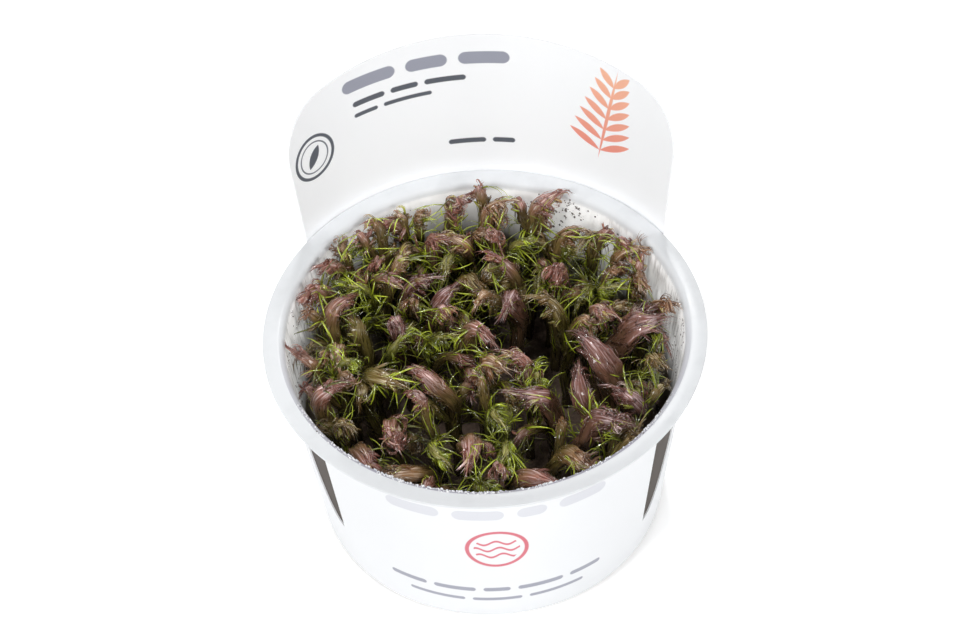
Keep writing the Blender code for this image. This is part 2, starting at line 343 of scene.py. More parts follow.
def setFloor():
    deselectAll()
    bpy.ops.mesh.primitive_grid_add(
        x_subdivisions=8, y_subdivisions=8, size=light["floorSize"], location=(0, 0, 0))
    floor = bpy.context.object
    floor.name = "floor"
    sheet = Sheet("paleFloor", (light["floor"],) * 3, 0.9, Specular_IOR_Level=0.1,
                  Emission_Color=(*white, 1.0), Emission_Strength=light["floorGlow"])
    grain = sheet.noise(sheet.place(), 900.0)
    floor.data.materials.append(sheet.feed(Normal=sheet.bump(grain, 0.03, 0.2 * mm)))


setCamera()
setLights()
setFloor()
print("camera, lights and floor set")

cup = {
    "rimRadius": 50 * mm, "height": 55 * mm, "mouthRadius": 45.2 * mm, "baseRadius": 40.6 * mm,
    "wall": 1.0 * mm, "rimThickness": 0.75 * mm, "sides": 144,
    # radius and height in mm, from the middle of the underside out to the wall
    "foot": [(30, 0), (39.0, 0), (39.9, 0.15), (40.45, 0.6)],
    "outerRows": (1.5, 10, 20, 30, 40, 48, 53.7), "innerRows": (53.6, 48, 40, 30, 20, 10, 2.4),
    # the rim's outer edge, its top, and the rounded lip
    "rim": [(50.0, 54.75), (49.92, 54.93), (49.7, 55.0), (48.2, 54.97), (46.75, 55.0), (46.35, 54.95),
            (46.0, 54.82), (45.65, 54.58), (45.38, 54.22)],
}

# the brown and tan low on the wall, the front rim, the lip and the windows are painted shade; the left rim
# and the glow are painted light
plastic = {
    "clear": (0.93, 0.93, 0.92), "milk": (0.60, 0.595, 0.585), "streak": (0.96, 0.96, 0.965),
    "shadowBrown": (0.10, 0.080, 0.050), "tan": (0.33, 0.29, 0.215), "glow": (0.36, 0.36, 0.355),
    "rim": (0.775, 0.795, 0.815), "paleRim": (0.815, 0.835, 0.855), "shadedFrontRim": (0.725, 0.74, 0.76),
    "litLeftRim": (0.86, 0.88, 0.90), "lipShade": (0.33, 0.315, 0.39),
    "windowShade": (0.070, 0.058, 0.050), "paleWindowShade": (0.105, 0.090, 0.080),
    "window": (51.0, 70.0), "windowFoot": 11 * mm,
}


def innerRadius(height):
    base = cup["baseRadius"] - cup["wall"]
    return base + (cup["mouthRadius"] - base) * height / cup["height"]


def outerRadius(height):
    return innerRadius(height) + cup["wall"]


def clearPlastic():
    # clear low down, milky where the wall stands free behind the shoots and at the rim, and painted
    # shade, a smoky dark, where the windows show the wet shoots behind it
    sheet = Sheet("clearPlastic", plastic["clear"], 0.14, Transmission_Weight=0.85, IOR=1.45)
    place = sheet.place()
    x, y, z = sheet.split(place)
    cloud = sheet.noise(place, 160.0, 4.0)
    ripple = sheet.noise(place, 420.0, 2.0) * 0.6 + sheet.noise(place, 60.0, 2.0)
    runs = sheet.noise(sheet.stretch(place, (900.0, 900.0, 70.0)), 1.0, 3.0, 0.7)   # down the wall
    atRim = z.ramp(0.0530, 0.0540)
    outward = (x * x + y * y).root()
    onOutside = (outward - 0.0401 - 0.1018 * z).over(0.0) * z.under(0.0540)     # past the wall's middle
    around = sheet.maths("ARCTAN2", x, 0.0 - y).size() * 180 / math.pi
    start, stop = plastic["window"]
    atWindow = around.over(start) * around.under(stop) * z.over(plastic["windowFoot"]) * onOutside

    # the wall: painted shade, dark brown low down and furthest up at the back left, and streaked at the
    # sides
    aside = x.size().ramp(0.024, 0.038)
    streaks = 0.8 + (0.2 + 0.8 * aside) * ((0.9 * runs + 0.25 * cloud).ramp(0.44, 0.66) - 0.8)
    wall = sheet.blend(streaks, plastic["milk"], plastic["streak"])
    level = z + (0.007 * x.ramp(0.004, 0.020)).most(0.011 * (1 - y.ramp(0.006, 0.024)))
    low = sheet.blend(level.ramp(0.024, 0.045), plastic["shadowBrown"], plastic["tan"])
    wall = sheet.blend(level.ramp(0.040, 0.0505), low, wall)

    # the rim: painted shade greyer in front, painted light paler at the left, and painted shade mottled
    # along the inner edge of the front lip
    rim = sheet.blend(cloud.ramp(0.35, 0.7), plastic["rim"], plastic["paleRim"])
    rim = sheet.blend(1 - y.ramp(-0.046, -0.028), rim, plastic["shadedFrontRim"])
    rim = sheet.blend((0.0 - x).ramp(0.030, 0.046), rim, plastic["litLeftRim"])
    lipShade = outward.under(0.0464) * (1 - y.ramp(-0.034, 0.006)) * (0.35 + 0.9 * cloud).least(0.85)
    rim = sheet.blend(lipShade, rim, plastic["lipShade"])
    # painted shade: the windows are coloured the dark of the shaded shoots behind the wall
    windowShade = sheet.blend(cloud, plastic["windowShade"], plastic["paleWindowShade"])
    colour = sheet.blend(atWindow, sheet.blend(atRim, wall, rim), windowShade)

    # painted light: the wall's inner face glows by emission, more along its streaks, for light that comes
    # through the thin card and wall
    behind = y.ramp(-0.024, -0.006)
    paintedGlow = behind * level.ramp(0.040, 0.051) * (1 - onOutside) * (1 - atRim)
    glow = sheet.blend(paintedGlow * (0.45 + 0.65 * streaks), black, plastic["glow"])
    milky = sheet.add("ShaderNodeBsdfPrincipled", {}, {
        "Base Color": colour, "Roughness": 0.26 + 0.34 * atRim + 0.55 * atWindow,
        "Specular IOR Level": 0.24, "Emission Color": glow, "Emission Strength": 1.0})
    fog = (behind * z.ramp(0.006, 0.013)).most(atRim)
    fog = (0.92 * fog * (0.85 + 0.3 * cloud).least(1.0)).most(0.97 * atWindow)
    sheet.feed(Roughness=0.08 + 0.14 * cloud, Normal=sheet.bump(ripple, 0.25, 0.2 * mm))
    mixed = sheet.add("ShaderNodeMixShader", {}, {
        0: fog, 1: Wire(sheet, sheet.shader.outputs[0]), 2: milky})
    surface = sheet.tree.nodes["Material Output"].inputs["Surface"]
    sheet.tree.links.new(mixed.socket, surface)
    return sheet.material


def makeCup():
    under = cup["height"] - cup["rimThickness"]
    outside = outerRadius(under)
    rings = [(radius * mm, height * mm) for radius, height in cup["foot"]]
    rings += [(outerRadius(height * mm), height * mm) for height in cup["outerRows"]]
    rings += [
        (outside + 0.12 * mm, under - 0.2 * mm), (outside + 0.5 * mm, under), (49.75 * mm, under),
        (49.93 * mm, under + 0.08 * mm), (50.0 * mm, under + 0.25 * mm)]
    rings += [(radius * mm, height * mm) for radius, height in cup["rim"]]
    rings += [(innerRadius(height * mm), height * mm) for height in cup["innerRows"]]
    floor = cup["wall"]
    rings += [(innerRadius(1.6 * mm) - 0.25 * mm, 1.6 * mm), (innerRadius(floor) - 0.9 * mm, 1.12 * mm),
              (innerRadius(floor) - 1.6 * mm, floor), (25 * mm, floor)]
    piece = pullUp("clearCup", rings, cup["sides"])
    smoothShade(piece)
    dressUp(piece, clearPlastic(), "clear_plastic", "cup")


makeCup()
print("cup made")

sleeve = {
    "thickness": 0.32 * mm, "gap": 0.03 * mm, "bottom": 1.6 * mm, "top": 53.8 * mm,
    "right": {"windowStart": 53.6, "windowSpan": 14.4, "windowDepth": 41 * mm, "headerHalf": 58.0},
    "left": {"windowStart": 54.3, "windowSpan": 12.8, "windowDepth": 37 * mm, "headerHalf": 52.9},
    "headerRise": 39.4 * mm, "headerCrown": 5.6 * mm, "headerCorner": 11.2 * mm,
    "bendStart": 44 * mm, "bendEnd": 53.5 * mm, "flareSpan": 15.0, "merge": 0.002 * mm,
    "lowRows": 22, "highRows": 22, "columnStep": 2.0, "edgeStep": 0.15, "curveSteps": 14,
}


def headerTop(angle, headerHalf):
    corner = math.degrees(sleeve["headerCorner"] / cup["rimRadius"])
    into = max(0.0, angle - (headerHalf - corner)) / corner
    drop = sleeve["headerCorner"] * (1 - math.sqrt(max(0.0, 1 - into ** 2)))
    crown = sleeve["headerCrown"] * (angle / headerHalf) ** 2
    return cup["height"] + sleeve["headerRise"] - crown - drop


def sleeveEdge(side):
    # one side's upper edge from the front round to the back: degrees from the front, height, flare
    start, span, depth, headerHalf = sleeve[side].values()
    top, headerStart = sleeve["top"], 180 - headerHalf
    corner = math.degrees(sleeve["headerCorner"] / cup["rimRadius"])
    steps = sleeve["curveSteps"]
    quarter = [math.radians(90 * step / steps) for step in range(steps + 1)]

    def even(low, high):
        steps = math.ceil((high - low) / sleeve["columnStep"])
        return [low + (high - low) * step / steps for step in range(steps + 1)]

    edge = [(angle, top) for angle in even(0, start - sleeve["edgeStep"])]
    edge += [(start + span * math.sin(turn), top - depth * math.cos(turn)) for turn in quarter]
    edge += [(angle, top) for angle in even(start + span, headerStart - sleeve["edgeStep"])[1:]]
    curve = [headerStart + corner * (1 - math.cos(turn)) for turn in quarter]
    edge += [(angle, headerTop(180 - angle, headerHalf)) for angle in curve + even(curve[-1], 180)[1:]]
    flareFrom = headerStart - sleeve["flareSpan"]
    return [(angle, height, ease((angle - flareFrom) / sleeve["flareSpan"])) for angle, height in edge]


def sleeveRadius(height, flare):
    cone = outerRadius(height) + sleeve["gap"]
    pastRim = cup["rimRadius"] + 0.1 * mm - outerRadius(sleeve["bendEnd"]) - sleeve["gap"]
    rise = ease((height - sleeve["bendStart"]) / (sleeve["bendEnd"] - sleeve["bendStart"]))
    return cone + pastRim * flare * rise


# the print, in mm: heights are above the rim, the rest is round from the middle of the front or back
printDesign = {
    "softGrey": (0.30, 0.31, 0.37), "paleGrey": (0.62, 0.63, 0.67), "darkGrey": (0.10, 0.11, 0.13),
    "rose": (0.60, 0.13, 0.17), "peach": (0.84, 0.44, 0.30), "coral": (0.76, 0.25, 0.20),
    "card": (0.87, 0.885, 0.90), "dullCard": (0.87, 0.88, 0.895), "brightCard": (0.89, 0.90, 0.915),
    "shade": (0.865, 0.87, 0.875), "edge": 0.12,
    # bars with round ends: face, colour, height, half thickness, and from where to where
    "bars": [
        ("back", "softGrey", 33.0, 1.7, [(-30, -17), (-14.5, -5), (-2.5, 9)]),
        ("back", "darkGrey", 27.6, 0.75, [(-28, -20), (-18.5, -12), (-10.5, -1)]),
        ("back", "darkGrey", 24.4, 0.55, [(-28, -22), (-20.5, -9)]),
        ("back", "darkGrey", 9.0, 0.7, [(-6, 3), (4.6, 10)]),
        ("front", "paleGrey", -9.0, 1.9, [(-26, -13), (-10, 2), (5, 12), (15, 27)]),
        ("front", "softGrey", -41.6, 0.8, [(-29, -19), (-17, -6), (-4, 3), (5, 17), (19, 28)]),
        ("front", "softGrey", -46.0, 0.6, [(-24, -9), (-7, 6), (8, 23)]),
    ],
    # leaves: start, end and half width; rings: radius and half thickness
    "sprigStem": (31, 9.5, 34.5, 36.0, 0.45), "sprigPairs": 7, "sprigLeaf": 0.95,
    "emblem": (-40.5, 20.0), "emblemRings": [(5.6, 0.42), (4.1, 0.18)],
    "emblemLeaf": (-42.3, 17.4, -38.7, 22.6, 1.25),
    "waves": (0.0, -23.5), "waveRing": (7.2, 0.5), "waveRows": (-26.2, -23.5, -20.8),
    "waveHalf": 0.42, "waveReach": 5.6,
}


def printedCard():
    # a generic print: soft bars, a ring of waves, and a leafy sprig, all from place on the sleeve
    design = printDesign
    sheet = Sheet("printedCard", design["card"], 0.42, Specular_IOR_Level=0.4, Emission_Strength=1.0)
    place = sheet.place()
    x, y, z = sheet.split(place)
    high = z * 1000.0 - 55.0                                # mm above the rim
    front = sheet.maths("ARCTAN2", x, 0.0 - y) * 48.0       # mm round from the front
    back = sheet.maths("ARCTAN2", x, y) * 52.0              # mm round from the back
    outward = (x * x + y * y).root()
    coneOut = 0.0396 + 0.0056 * z / 0.055 + 0.0010 + 0.00003
    printedOut = (outward - coneOut).over(0.00018)          # the outer skin of the lower sleeve
    headerOut = 0.0501 + 0.1018 * (z - 0.0535)
    printedIn = z.over(0.0545) * (outward - headerOut).under(0.00016)   # the header's inner face

    def inside(past):
        # 1 within an edge and 0 beyond it
        return 1 - past.ramp(-design["edge"], design["edge"])

    def far(dx, dz):
        return (dx * dx + dz * dz).root()

    def joined(shapes):
        whole = shapes[0]
        for shape in shapes[1:]:
            whole = whole.most(shape)
        return whole

    def bar(across, low, top, middleZ, half):
        dx = ((across - (low + top) / 2).size() - ((top - low) / 2 - half)).most(0.0)
        return inside(far(dx, high - middleZ) - half)

    def ring(across, middleX, middleZ, radius, half):
        return inside((far(across - middleX, high - middleZ) - radius).size() - half)

    def leaf(across, startX, startZ, endX, endZ, width):
        # pointed, as the overlap of two discs
        midX, midZ = (startX + endX) / 2, (startZ + endZ) / 2
        half = math.hypot(endX - startX, endZ - startZ) / 2
        aside = (half * half - width * width) / (2 * width)
        ux, uz = (endX - startX) / (2 * half), (endZ - startZ) / (2 * half)
        discs = [inside(far(across - (midX - uz * aside * way), high - (midZ + ux * aside * way))
                        - (aside + width)) for way in (1, -1)]
        return discs[0] * discs[1]

    card = sheet.noise(place, 40.0, 3.0)
    colour = sheet.blend(card.ramp(0.3, 0.7), design["dullCard"], design["brightCard"])
    colour = sheet.blend(printedIn, sheet.times(colour, design["shade"]), colour)
    faces = {"back": (back, y.over(0.0) * printedIn),
             "front": (front, y.under(0.0) * printedOut * z.under(0.0535))}
    behind, ahead = faces["back"][1], faces["front"][1]
    for face, tint, middleZ, half, spans in design["bars"]:
        across, mask = faces[face]
        bars = joined([bar(across, low, top, middleZ, half) for low, top in spans])
        colour = sheet.blend(bars * mask, colour, design[tint])

    sprig = [leaf(back, *design["sprigStem"])]
    for pair in range(design["sprigPairs"]):
        stemX, stemZ, reach = 31.3 + 0.42 * pair, 12.0 + 3.2 * pair, 8.0 - 0.7 * pair
        sprig += [leaf(back, stemX, stemZ, stemX + way * reach, stemZ + 4.4, design["sprigLeaf"])
                  for way in (1, -1)]
    tint = sheet.blend(high.ramp(10, 34), design["coral"], design["peach"])
    colour = sheet.blend(joined(sprig) * behind, colour, tint)

    emblem = [ring(back, *design["emblem"], *size) for size in design["emblemRings"]]
    emblem = joined(emblem + [leaf(back, *design["emblemLeaf"])])
    colour = sheet.blend(emblem * behind, colour, design["darkGrey"])

    middleX, middleZ = design["waves"]
    waves = [ring(front, middleX, middleZ, *design["waveRing"])]
    inRing = far(front - middleX, high - middleZ).under(design["waveReach"])
    for step, rowZ in enumerate(design["waveRows"]):
        swing = sheet.maths("SINE", front * 1.1 + 0.9 * step) * 0.75
        waves.append(inside((high - rowZ - swing).size() - design["waveHalf"]) * inRing)
    colour = sheet.blend(joined(waves) * ahead, colour, design["rose"])

    # painted light: the card glows by emission where the header stands free and on the sleeve's inner face,
    # for light that comes through the card
    aside = (back / 52.0).size()
    fade = 0.10 - 0.06 * high.ramp(14.0, 38.0)
    paintedGlow = printedIn * (fade + aside * (0.16 - 0.06 * high.ramp(0.0, 22.0)))
    paintedGlow = paintedGlow + 0.14 * z.under(0.0545) * (outward - coneOut).under(0.00015)
    glow = sheet.times(colour, sheet.blend(paintedGlow, black, white))
    fibre = sheet.noise(place, 1400.0, 2.0)
    return sheet.feed(Base_Color=colour, Emission_Color=glow, Roughness=0.36 + 0.14 * card,
                      Normal=sheet.bump(fibre, 0.06, 0.1 * mm))


def makeSleeve():
    columns = sleeveEdge("right")
    columns += [(360 - angle, top, flare) for angle, top, flare in sleeveEdge("left")[-2::-1]]
    rows = sleeve["lowRows"] + sleeve["highRows"]
    deselectAll()
    bpy.ops.mesh.primitive_grid_add(x_subdivisions=len(columns) - 1, y_subdivisions=rows, size=1)
    piece = named("printedSleeve")
    for point in piece.data.vertices:
        column = round((point.co.x + 0.5) * (len(columns) - 1))
        row = round((point.co.y + 0.5) * rows)
        angle, top, flare = columns[column]
        shoulder = min(top, sleeve["top"])
        if row <= sleeve["lowRows"]:
            height = sleeve["bottom"] + (shoulder - sleeve["bottom"]) * row / sleeve["lowRows"]
        else:
            height = shoulder + (top - shoulder) * (row - sleeve["lowRows"]) / sleeve["highRows"]
        radius = sleeveRadius(height, flare)
        around = math.radians(angle)
        point.co = (radius * math.sin(around), -radius * math.cos(around), height)
    startEdit(piece)
    bpy.ops.mesh.remove_doubles(threshold=sleeve["merge"])
    bpy.ops.mesh.dissolve_degenerate(threshold=sleeve["merge"])
    endEdit()
    card = piece.modifiers.new("card", "SOLIDIFY")
    card.thickness = sleeve["thickness"]
    card.offset = 1
    applyModifiers(piece)
    smoothShade(piece)
    dressUp(piece, printedCard(), "white_card", "label_sleeve")


makeSleeve()
print("sleeve made")

# drops and crumbs on the cup's wall, and along its front lip
drops = {
    "seed": 19, "sides": 6, "rows": 4, "flatness": 0.55, "groupOf": 9, "strewn": (2.2, 0.9),
    "stretch": (0.75, 1.5),
    # degrees from the front, mm above the table, how many, sizes in mm, and how many are dark
    "places": [
        ((140, 168), (44, 53.8), 170, (0.12, 0.34), 0.8),
        ((-160, -148), (42, 53.5), 40, (0.10, 0.26), 0.6),
        ((120, 134), (40, 51), 60, (0.10, 0.26), 0.6),
        ((-112, -80), (30, 52.6), 170, (0.08, 0.24), 0.55),
        ((84, 110), (34, 53.0), 130, (0.08, 0.24), 0.6),
        ((-66, 16), (54.5, 54.98), 330, (0.14, 0.40), 0.05),
        ((16, 66), (54.5, 54.98), 130, (0.12, 0.32), 0.1),
    ],
    # the wall's end and the rounded lip: mm above the table, mm from the middle
    "lip": [(53.6, 45.26), (54.22, 45.38), (54.58, 45.65), (54.82, 46.0), (54.95, 46.35), (55.0, 46.75)],
    "colours": [(0.0, (0.09, 0.075, 0.06)), (0.45, (0.30, 0.28, 0.27)), (0.55, (0.72, 0.73, 0.76)),
                (1.0, (0.97, 0.97, 0.98))],
}


def wetDrop():
    sheet = Sheet("wetDrop", (0.8, 0.8, 0.8), 0.15, Coat_Weight=1.0, Coat_Roughness=0.03)
    luck = sheet.split(sheet.tone("dropTone")[0])[0]
    mottle = sheet.noise(sheet.place(), 5000.0, 2.0)
    return sheet.feed(Base_Color=sheet.colours(luck, drops["colours"]), Roughness=0.08 + 0.2 * mottle)


def folded(values, low, high):
    # what falls outside comes back in from the edge
    span = high - low
    return low + np.abs((values - low + span) % (2 * span) - span)


def scatterDrops():
    dice = np.random.default_rng(drops["seed"])
    deselectAll()
    bpy.ops.mesh.primitive_uv_sphere_add(
        segments=drops["sides"], ring_count=drops["rows"], radius=1 * mm, location=(0, 0, 0))
    drop = flattened(named("wallDrops"), (1, 1, drops["flatness"]))
    flat = cornersOf(drop)
    repeatPiece(drop, sum(place[2] for place in drops["places"]))
    lipStart, up = drops["lip"][0][0] * mm, np.array([0, 0, 1])
    spots, lucks = [], []
    for (low, top), (bottom, high), count, sizes, darkShare in drops["places"]:
        # thrown in loose groups
        groups = dice.uniform((low, bottom), (top, high), (max(3, count // drops["groupOf"]), 2))
        near = groups[dice.integers(len(groups), size=count)]
        near = near + dice.normal(0, drops["strewn"], (count, 2))
        angle = np.radians(folded(near[:, 0], low, top))
        height = folded(near[:, 1], bottom, high)
        onLip = np.interp(height, *zip(*drops["lip"])) * mm
        height = height * mm
        size = dice.uniform(0, 1, count) ** 2 * (sizes[1] - sizes[0]) + sizes[0]
        stretch = dice.uniform(*drops["stretch"], count)
        reach = np.where(height < lipStart, innerRadius(height), onLip)
        reach = reach - size * drops["flatness"] * 0.6 * mm
        inward = np.stack([-np.sin(angle), np.cos(angle), 0 * angle], axis=1)
        aside = np.stack([np.cos(angle), np.sin(angle), 0 * angle], axis=1)
        middle = -inward * reach[:, None] + up * height[:, None]
        grown = flat[None] * size[:, None, None]
        spots.append(middle[:, None] + aside[:, None] * grown[..., 0:1] + inward[:, None] * grown[..., 2:3]
                     + up * grown[..., 1:2] * stretch[:, None, None])
        dark = dice.random(count) < darkShare
        lucks.append(np.where(dark, dice.uniform(0, 0.5, count), dice.uniform(0.55, 1.0, count)))
    tones = np.repeat(np.concatenate(lucks), len(flat))
    tones = np.stack([tones, tones, tones, np.ones(len(tones))], axis=1)
    setCorners(drop, np.concatenate(spots), "dropTone", tones)
    dressUp(drop, wetDrop(), "clear_plastic")


scatterDrops()
print("drops scattered")

gel = {"deep": (0.085, 0.058, 0.042), "pale": (0.24, 0.172, 0.130)}


def dressGel():
    sheet = Sheet("growingGel", gel["deep"], 0.6, Specular_IOR_Level=0.25)
    place = sheet.place()
    cloud = sheet.noise(place, 170.0, 5.0, 0.65)
    threads = sheet.noise(place, 520.0, 3.0)
    colour = sheet.blend((cloud * 0.6 + threads * 0.4).ramp(0.40, 0.66), gel["deep"], gel["pale"])
    finish = sheet.feed(Base_Color=colour, Roughness=0.7 - 0.5 * threads.ramp(0.45, 0.7),
                        Normal=sheet.bump(cloud + threads * 0.6, 0.9, 0.0008))
    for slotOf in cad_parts["growing_gel"].material_slots:
        slotOf.material = finish


dressGel()
print("gel dressed")

# The shoots. A row each, in mm: where it bends over (x, y), where its tip lies (x, y), its tip
# above the rim, its stoutness, then how its wet leaves lie, and their tint
plantingPlan = [
    (-15, 39, -23, 35, 2, 1.0, "comb", "rose"), (-12, 37, -10, 31, 0, 0.9, "brush", "rose"),
    (-9, 40, -3, 41, 2, 0.9, "crown", "rose"), (0, 40, 6, 37, 4, 1.1, "curl", "rust"),
    (-3, 36, -8, 32, -1, 1.0, "curl", "rust"), (13, 39, 19, 39, 3, 1.2, "curl", "rose"),
    (19, 35, 23, 30, 0, 1.0, "curl", "rust"), (9, 35, 11, 30, -2, 0.8, "spray", "green"),
    (-24, 32, -30, 29, -1, 0.9, "spray", "green"), (-33, 27, -37, 21, 1, 1.0, "comb", "rose"),
    (-36, 18, -41, 15, 0, 0.9, "curl", "rose"), (-37, 11, -31, 15, -2, 0.9, "brush", "rose"),
    (29, 31, 25, 27, 1, 0.9, "loose", "olive"), (33, 28, 37, 22, 1, 1.1, "comb", "rust"),
    (38, 19, 37, 13, 1, 1.1, "comb", "rust"), (40, 11, 42, 6, 0, 0.9, "curl", "rust"),
    (9, 28, 4, 25, -2, 1.0, "curl", "rose"), (20, 26, 18, 20, -2, 1.1, "curl", "rose"),
    (-20, 23, -13, 21, -3, 1.0, "curl", "mauve"), (-22, 14, -20, 8, -6, 1.0, "brush", "mauve"),
    (-13, 17, -7, 18, -4, 0.9, "brush", "mauve"), (-7, 26, -1, 18, -4, 1.0, "brush", "olive"),
    (-27, 22, -32, 21, -2, 0.8, "spray", "green"), (-30, 8, -34, 12, -3, 0.9, "loose", "olive"),
    (-37, 3, -34, -4, -2, 0.9, "brush", "rust"), (-26, 5, -19, 8, -6, 0.8, "spray", "green"),
    (-15, 8, -9, 6, -6, 0.8, "spray", "green"), (-6, 9, 0, 3, -4, 1.1, "brush", "rose"),
    (9, 19, 5, 11, -3, 1.0, "brush", "mauve"), (22, 12, 13, 13, -4, 1.0, "loose", "olive"),
    (28, 11, 30, 4, -3, 1.0, "curl", "rose"), (30, 1, 39, 4, -1, 1.4, "fan", "mauve"),
    (28, 20, 32, 16, -4, 0.8, "spray", "green"), (37, -2, 39, -9, -2, 0.9, "loose", "olive"),
    (-1, -1, 3, -7, -3, 1.1, "loose", "rust"), (11, -6, 6, -3, -4, 0.9, "crown", "rose"),
    (31, -12, 22, -2, -1, 1.4, "brush", "mauve"), (27, -19, 20, -11, -3, 1.1, "brush", "mauve"),
    (35, -18, 29, -17, -2, 1.2, "curl", "mauve"), (17, -15, 7, -15, -3, 1.1, "brush", "mauve"),
    (-38, -6, -43, -2, 1, 1.0, "comb", "rose"), (-41, -12, -34, -12, -1, 1.0, "brush", "rose"),
    (-31, -3, -21, -11, -2, 1.1, "loose", "olive"), (-37, -19, -32, -23, -3, 0.9, "loose", "olive"),
    (-9, -10, -15, -8, -3, 1.1, "curl", "rose"), (-6, -38, 0, -41, -4, 0.9, "spray", "green"),
    (-34, -25, -27, -33, -3, 1.1, "brush", "rose"), (-24, -19, -21, -26, -3, 1.1, "crown", "rose"),
    (-14, -32, -22, -36, -4, 1.0, "brush", "rust"), (-13, -23, -11, -32, -4, 0.9, "spray", "green"),
    (-6, -25, -5, -34, -2, 1.1, "brush", "rose"), (4, -26, 3, -34, -3, 1.0, "spray", "green"),
    (3, -36, 12, -40, -3, 1.0, "brush", "rose"), (15, -30, 21, -36, -3, 1.0, "brush", "rust"),
    (23, -24, 29, -28, -2, 1.1, "crown", "mauve"), (0, -14, 2, -20, -5, 0.8, "spray", "green"),
    (27, -33, 33, -28, -4, 0.9, "loose", "olive"),
]

shoot = {
    "gap": 0.35 * mm, "foot": 13.35 * mm, "baseShare": 0.84, "arch": 7 * mm, "leanBack": 0.35,
    "tipDrop": 2 * mm, "leanOut": 0.4, "samples": 16, "rounds": 120, "push": 0.25, "easing": 0.08,
    "outline": [(0, 1.6), (0.25, 2.1), (0.45, 2.9), (0.6, 3.6), (0.8, 3.9), (0.92, 2.9), (1, 0.9)],
    "fineSteps": 72, "pastTip": 9 * mm, "straightOn": 3 * mm, "sag": 0.9, "fanWide": 0.6, "fanThin": 0.55,
    "wander": 0.5 * mm, "wanderRates": (250, 520), "wallGap": 0.12 * mm, "seed": 300, "greenBelow": 0.95,
}


def keptInside(points, clearance):
    # points as rows of x, y, z, drawn in to the cup's wall, or to a cone that leans out above the rim
    leanOut = shoot["leanOut"] * np.maximum(0.0, points[:, 2] - cup["height"])
    limit = innerRadius(np.minimum(points[:, 2], cup["height"])) - clearance + leanOut
    reach = np.hypot(points[:, 0], points[:, 1]) + 1e-12
    held = points.copy()
    held[:, :2] *= np.minimum(1.0, limit / reach)[:, None]
    return held


def girth(share, stoutness):
    for (start, thin), (stop, thick) in zip(shoot["outline"], shoot["outline"][1:]):
        if share <= stop:
            leafy = 1 + (stoutness - 1) * ease(share / 0.5)
            return leafy * (thin + (thick - thin) * (share - start) / (stop - start)) * mm
    return shoot["outline"][-1][1] * mm


def bezier(foot, low, high, tip):
    line = []
    for step in range(shoot["samples"]):
        share = step / (shoot["samples"] - 1)
        rest = 1 - share
        line.append(foot * rest ** 3 + low * (3 * rest ** 2 * share)
                    + high * (3 * rest * share ** 2) + tip * share ** 3)
    return line


def firstLine(plan):
    # up from the gel, over, and down to the tip
    bendX, bendY, tipX, tipY, rise = (value * mm for value in plan[:5])
    foot = Vector((bendX * shoot["baseShare"], bendY * shoot["baseShare"], shoot["foot"]))
    tip = Vector((tipX, tipY, cup["height"] + rise - shoot["tipDrop"]))
    low = foot + Vector((0, 0, 0.5 * (tip.z - foot.z)))     # straight up, half the way
    back = shoot["leanBack"]
    high = Vector((bendX + (bendX - tipX) * back, bendY + (bendY - tipY) * back, tip.z + shoot["arch"]))
    return bezier(foot, low, high, tip)


def spreadApart(lines, girths):
    # pushes the lines off each other and off the wall, as the solids do
    count, samples, room = len(lines), shoot["samples"], shoot["gap"] * 1.5
    places = np.array([[tuple(point) for point in line] for line in lines])
    sizes = np.array(girths)
    flatSizes = sizes.reshape(-1)
    owner = np.repeat(np.arange(count), samples)
    other = owner[:, None] != owner[None, :]
    needed = flatSizes[:, None] + flatSizes[None, :] + room
    free = np.tile(np.linspace(0, 1, samples) > 0.05, count)
    for _ in range(shoot["rounds"]):
        flat = places.reshape(-1, 3)
        apart = flat[:, None, :] - flat[None, :, :]
        distance = np.sqrt((apart ** 2).sum(axis=2)) + 1e-9
        short = np.where(other & (distance < needed), needed - distance, 0)
        push = (apart / distance[:, :, None] * short[:, :, None]).sum(axis=1) * shoot["push"]
        push[~free] = 0
        places = (flat + push).reshape(count, samples, 3)
        middle = (places[:, :-2] + places[:, 2:]) / 2
        places[:, 1:-1] += (middle - places[:, 1:-1]) * shoot["easing"]
        held = keptInside(places[:, 1:].reshape(-1, 3), sizes[:, 1:].reshape(-1) + room)
        places[:, 1:] = held.reshape(count, samples - 1, 3)
    return places


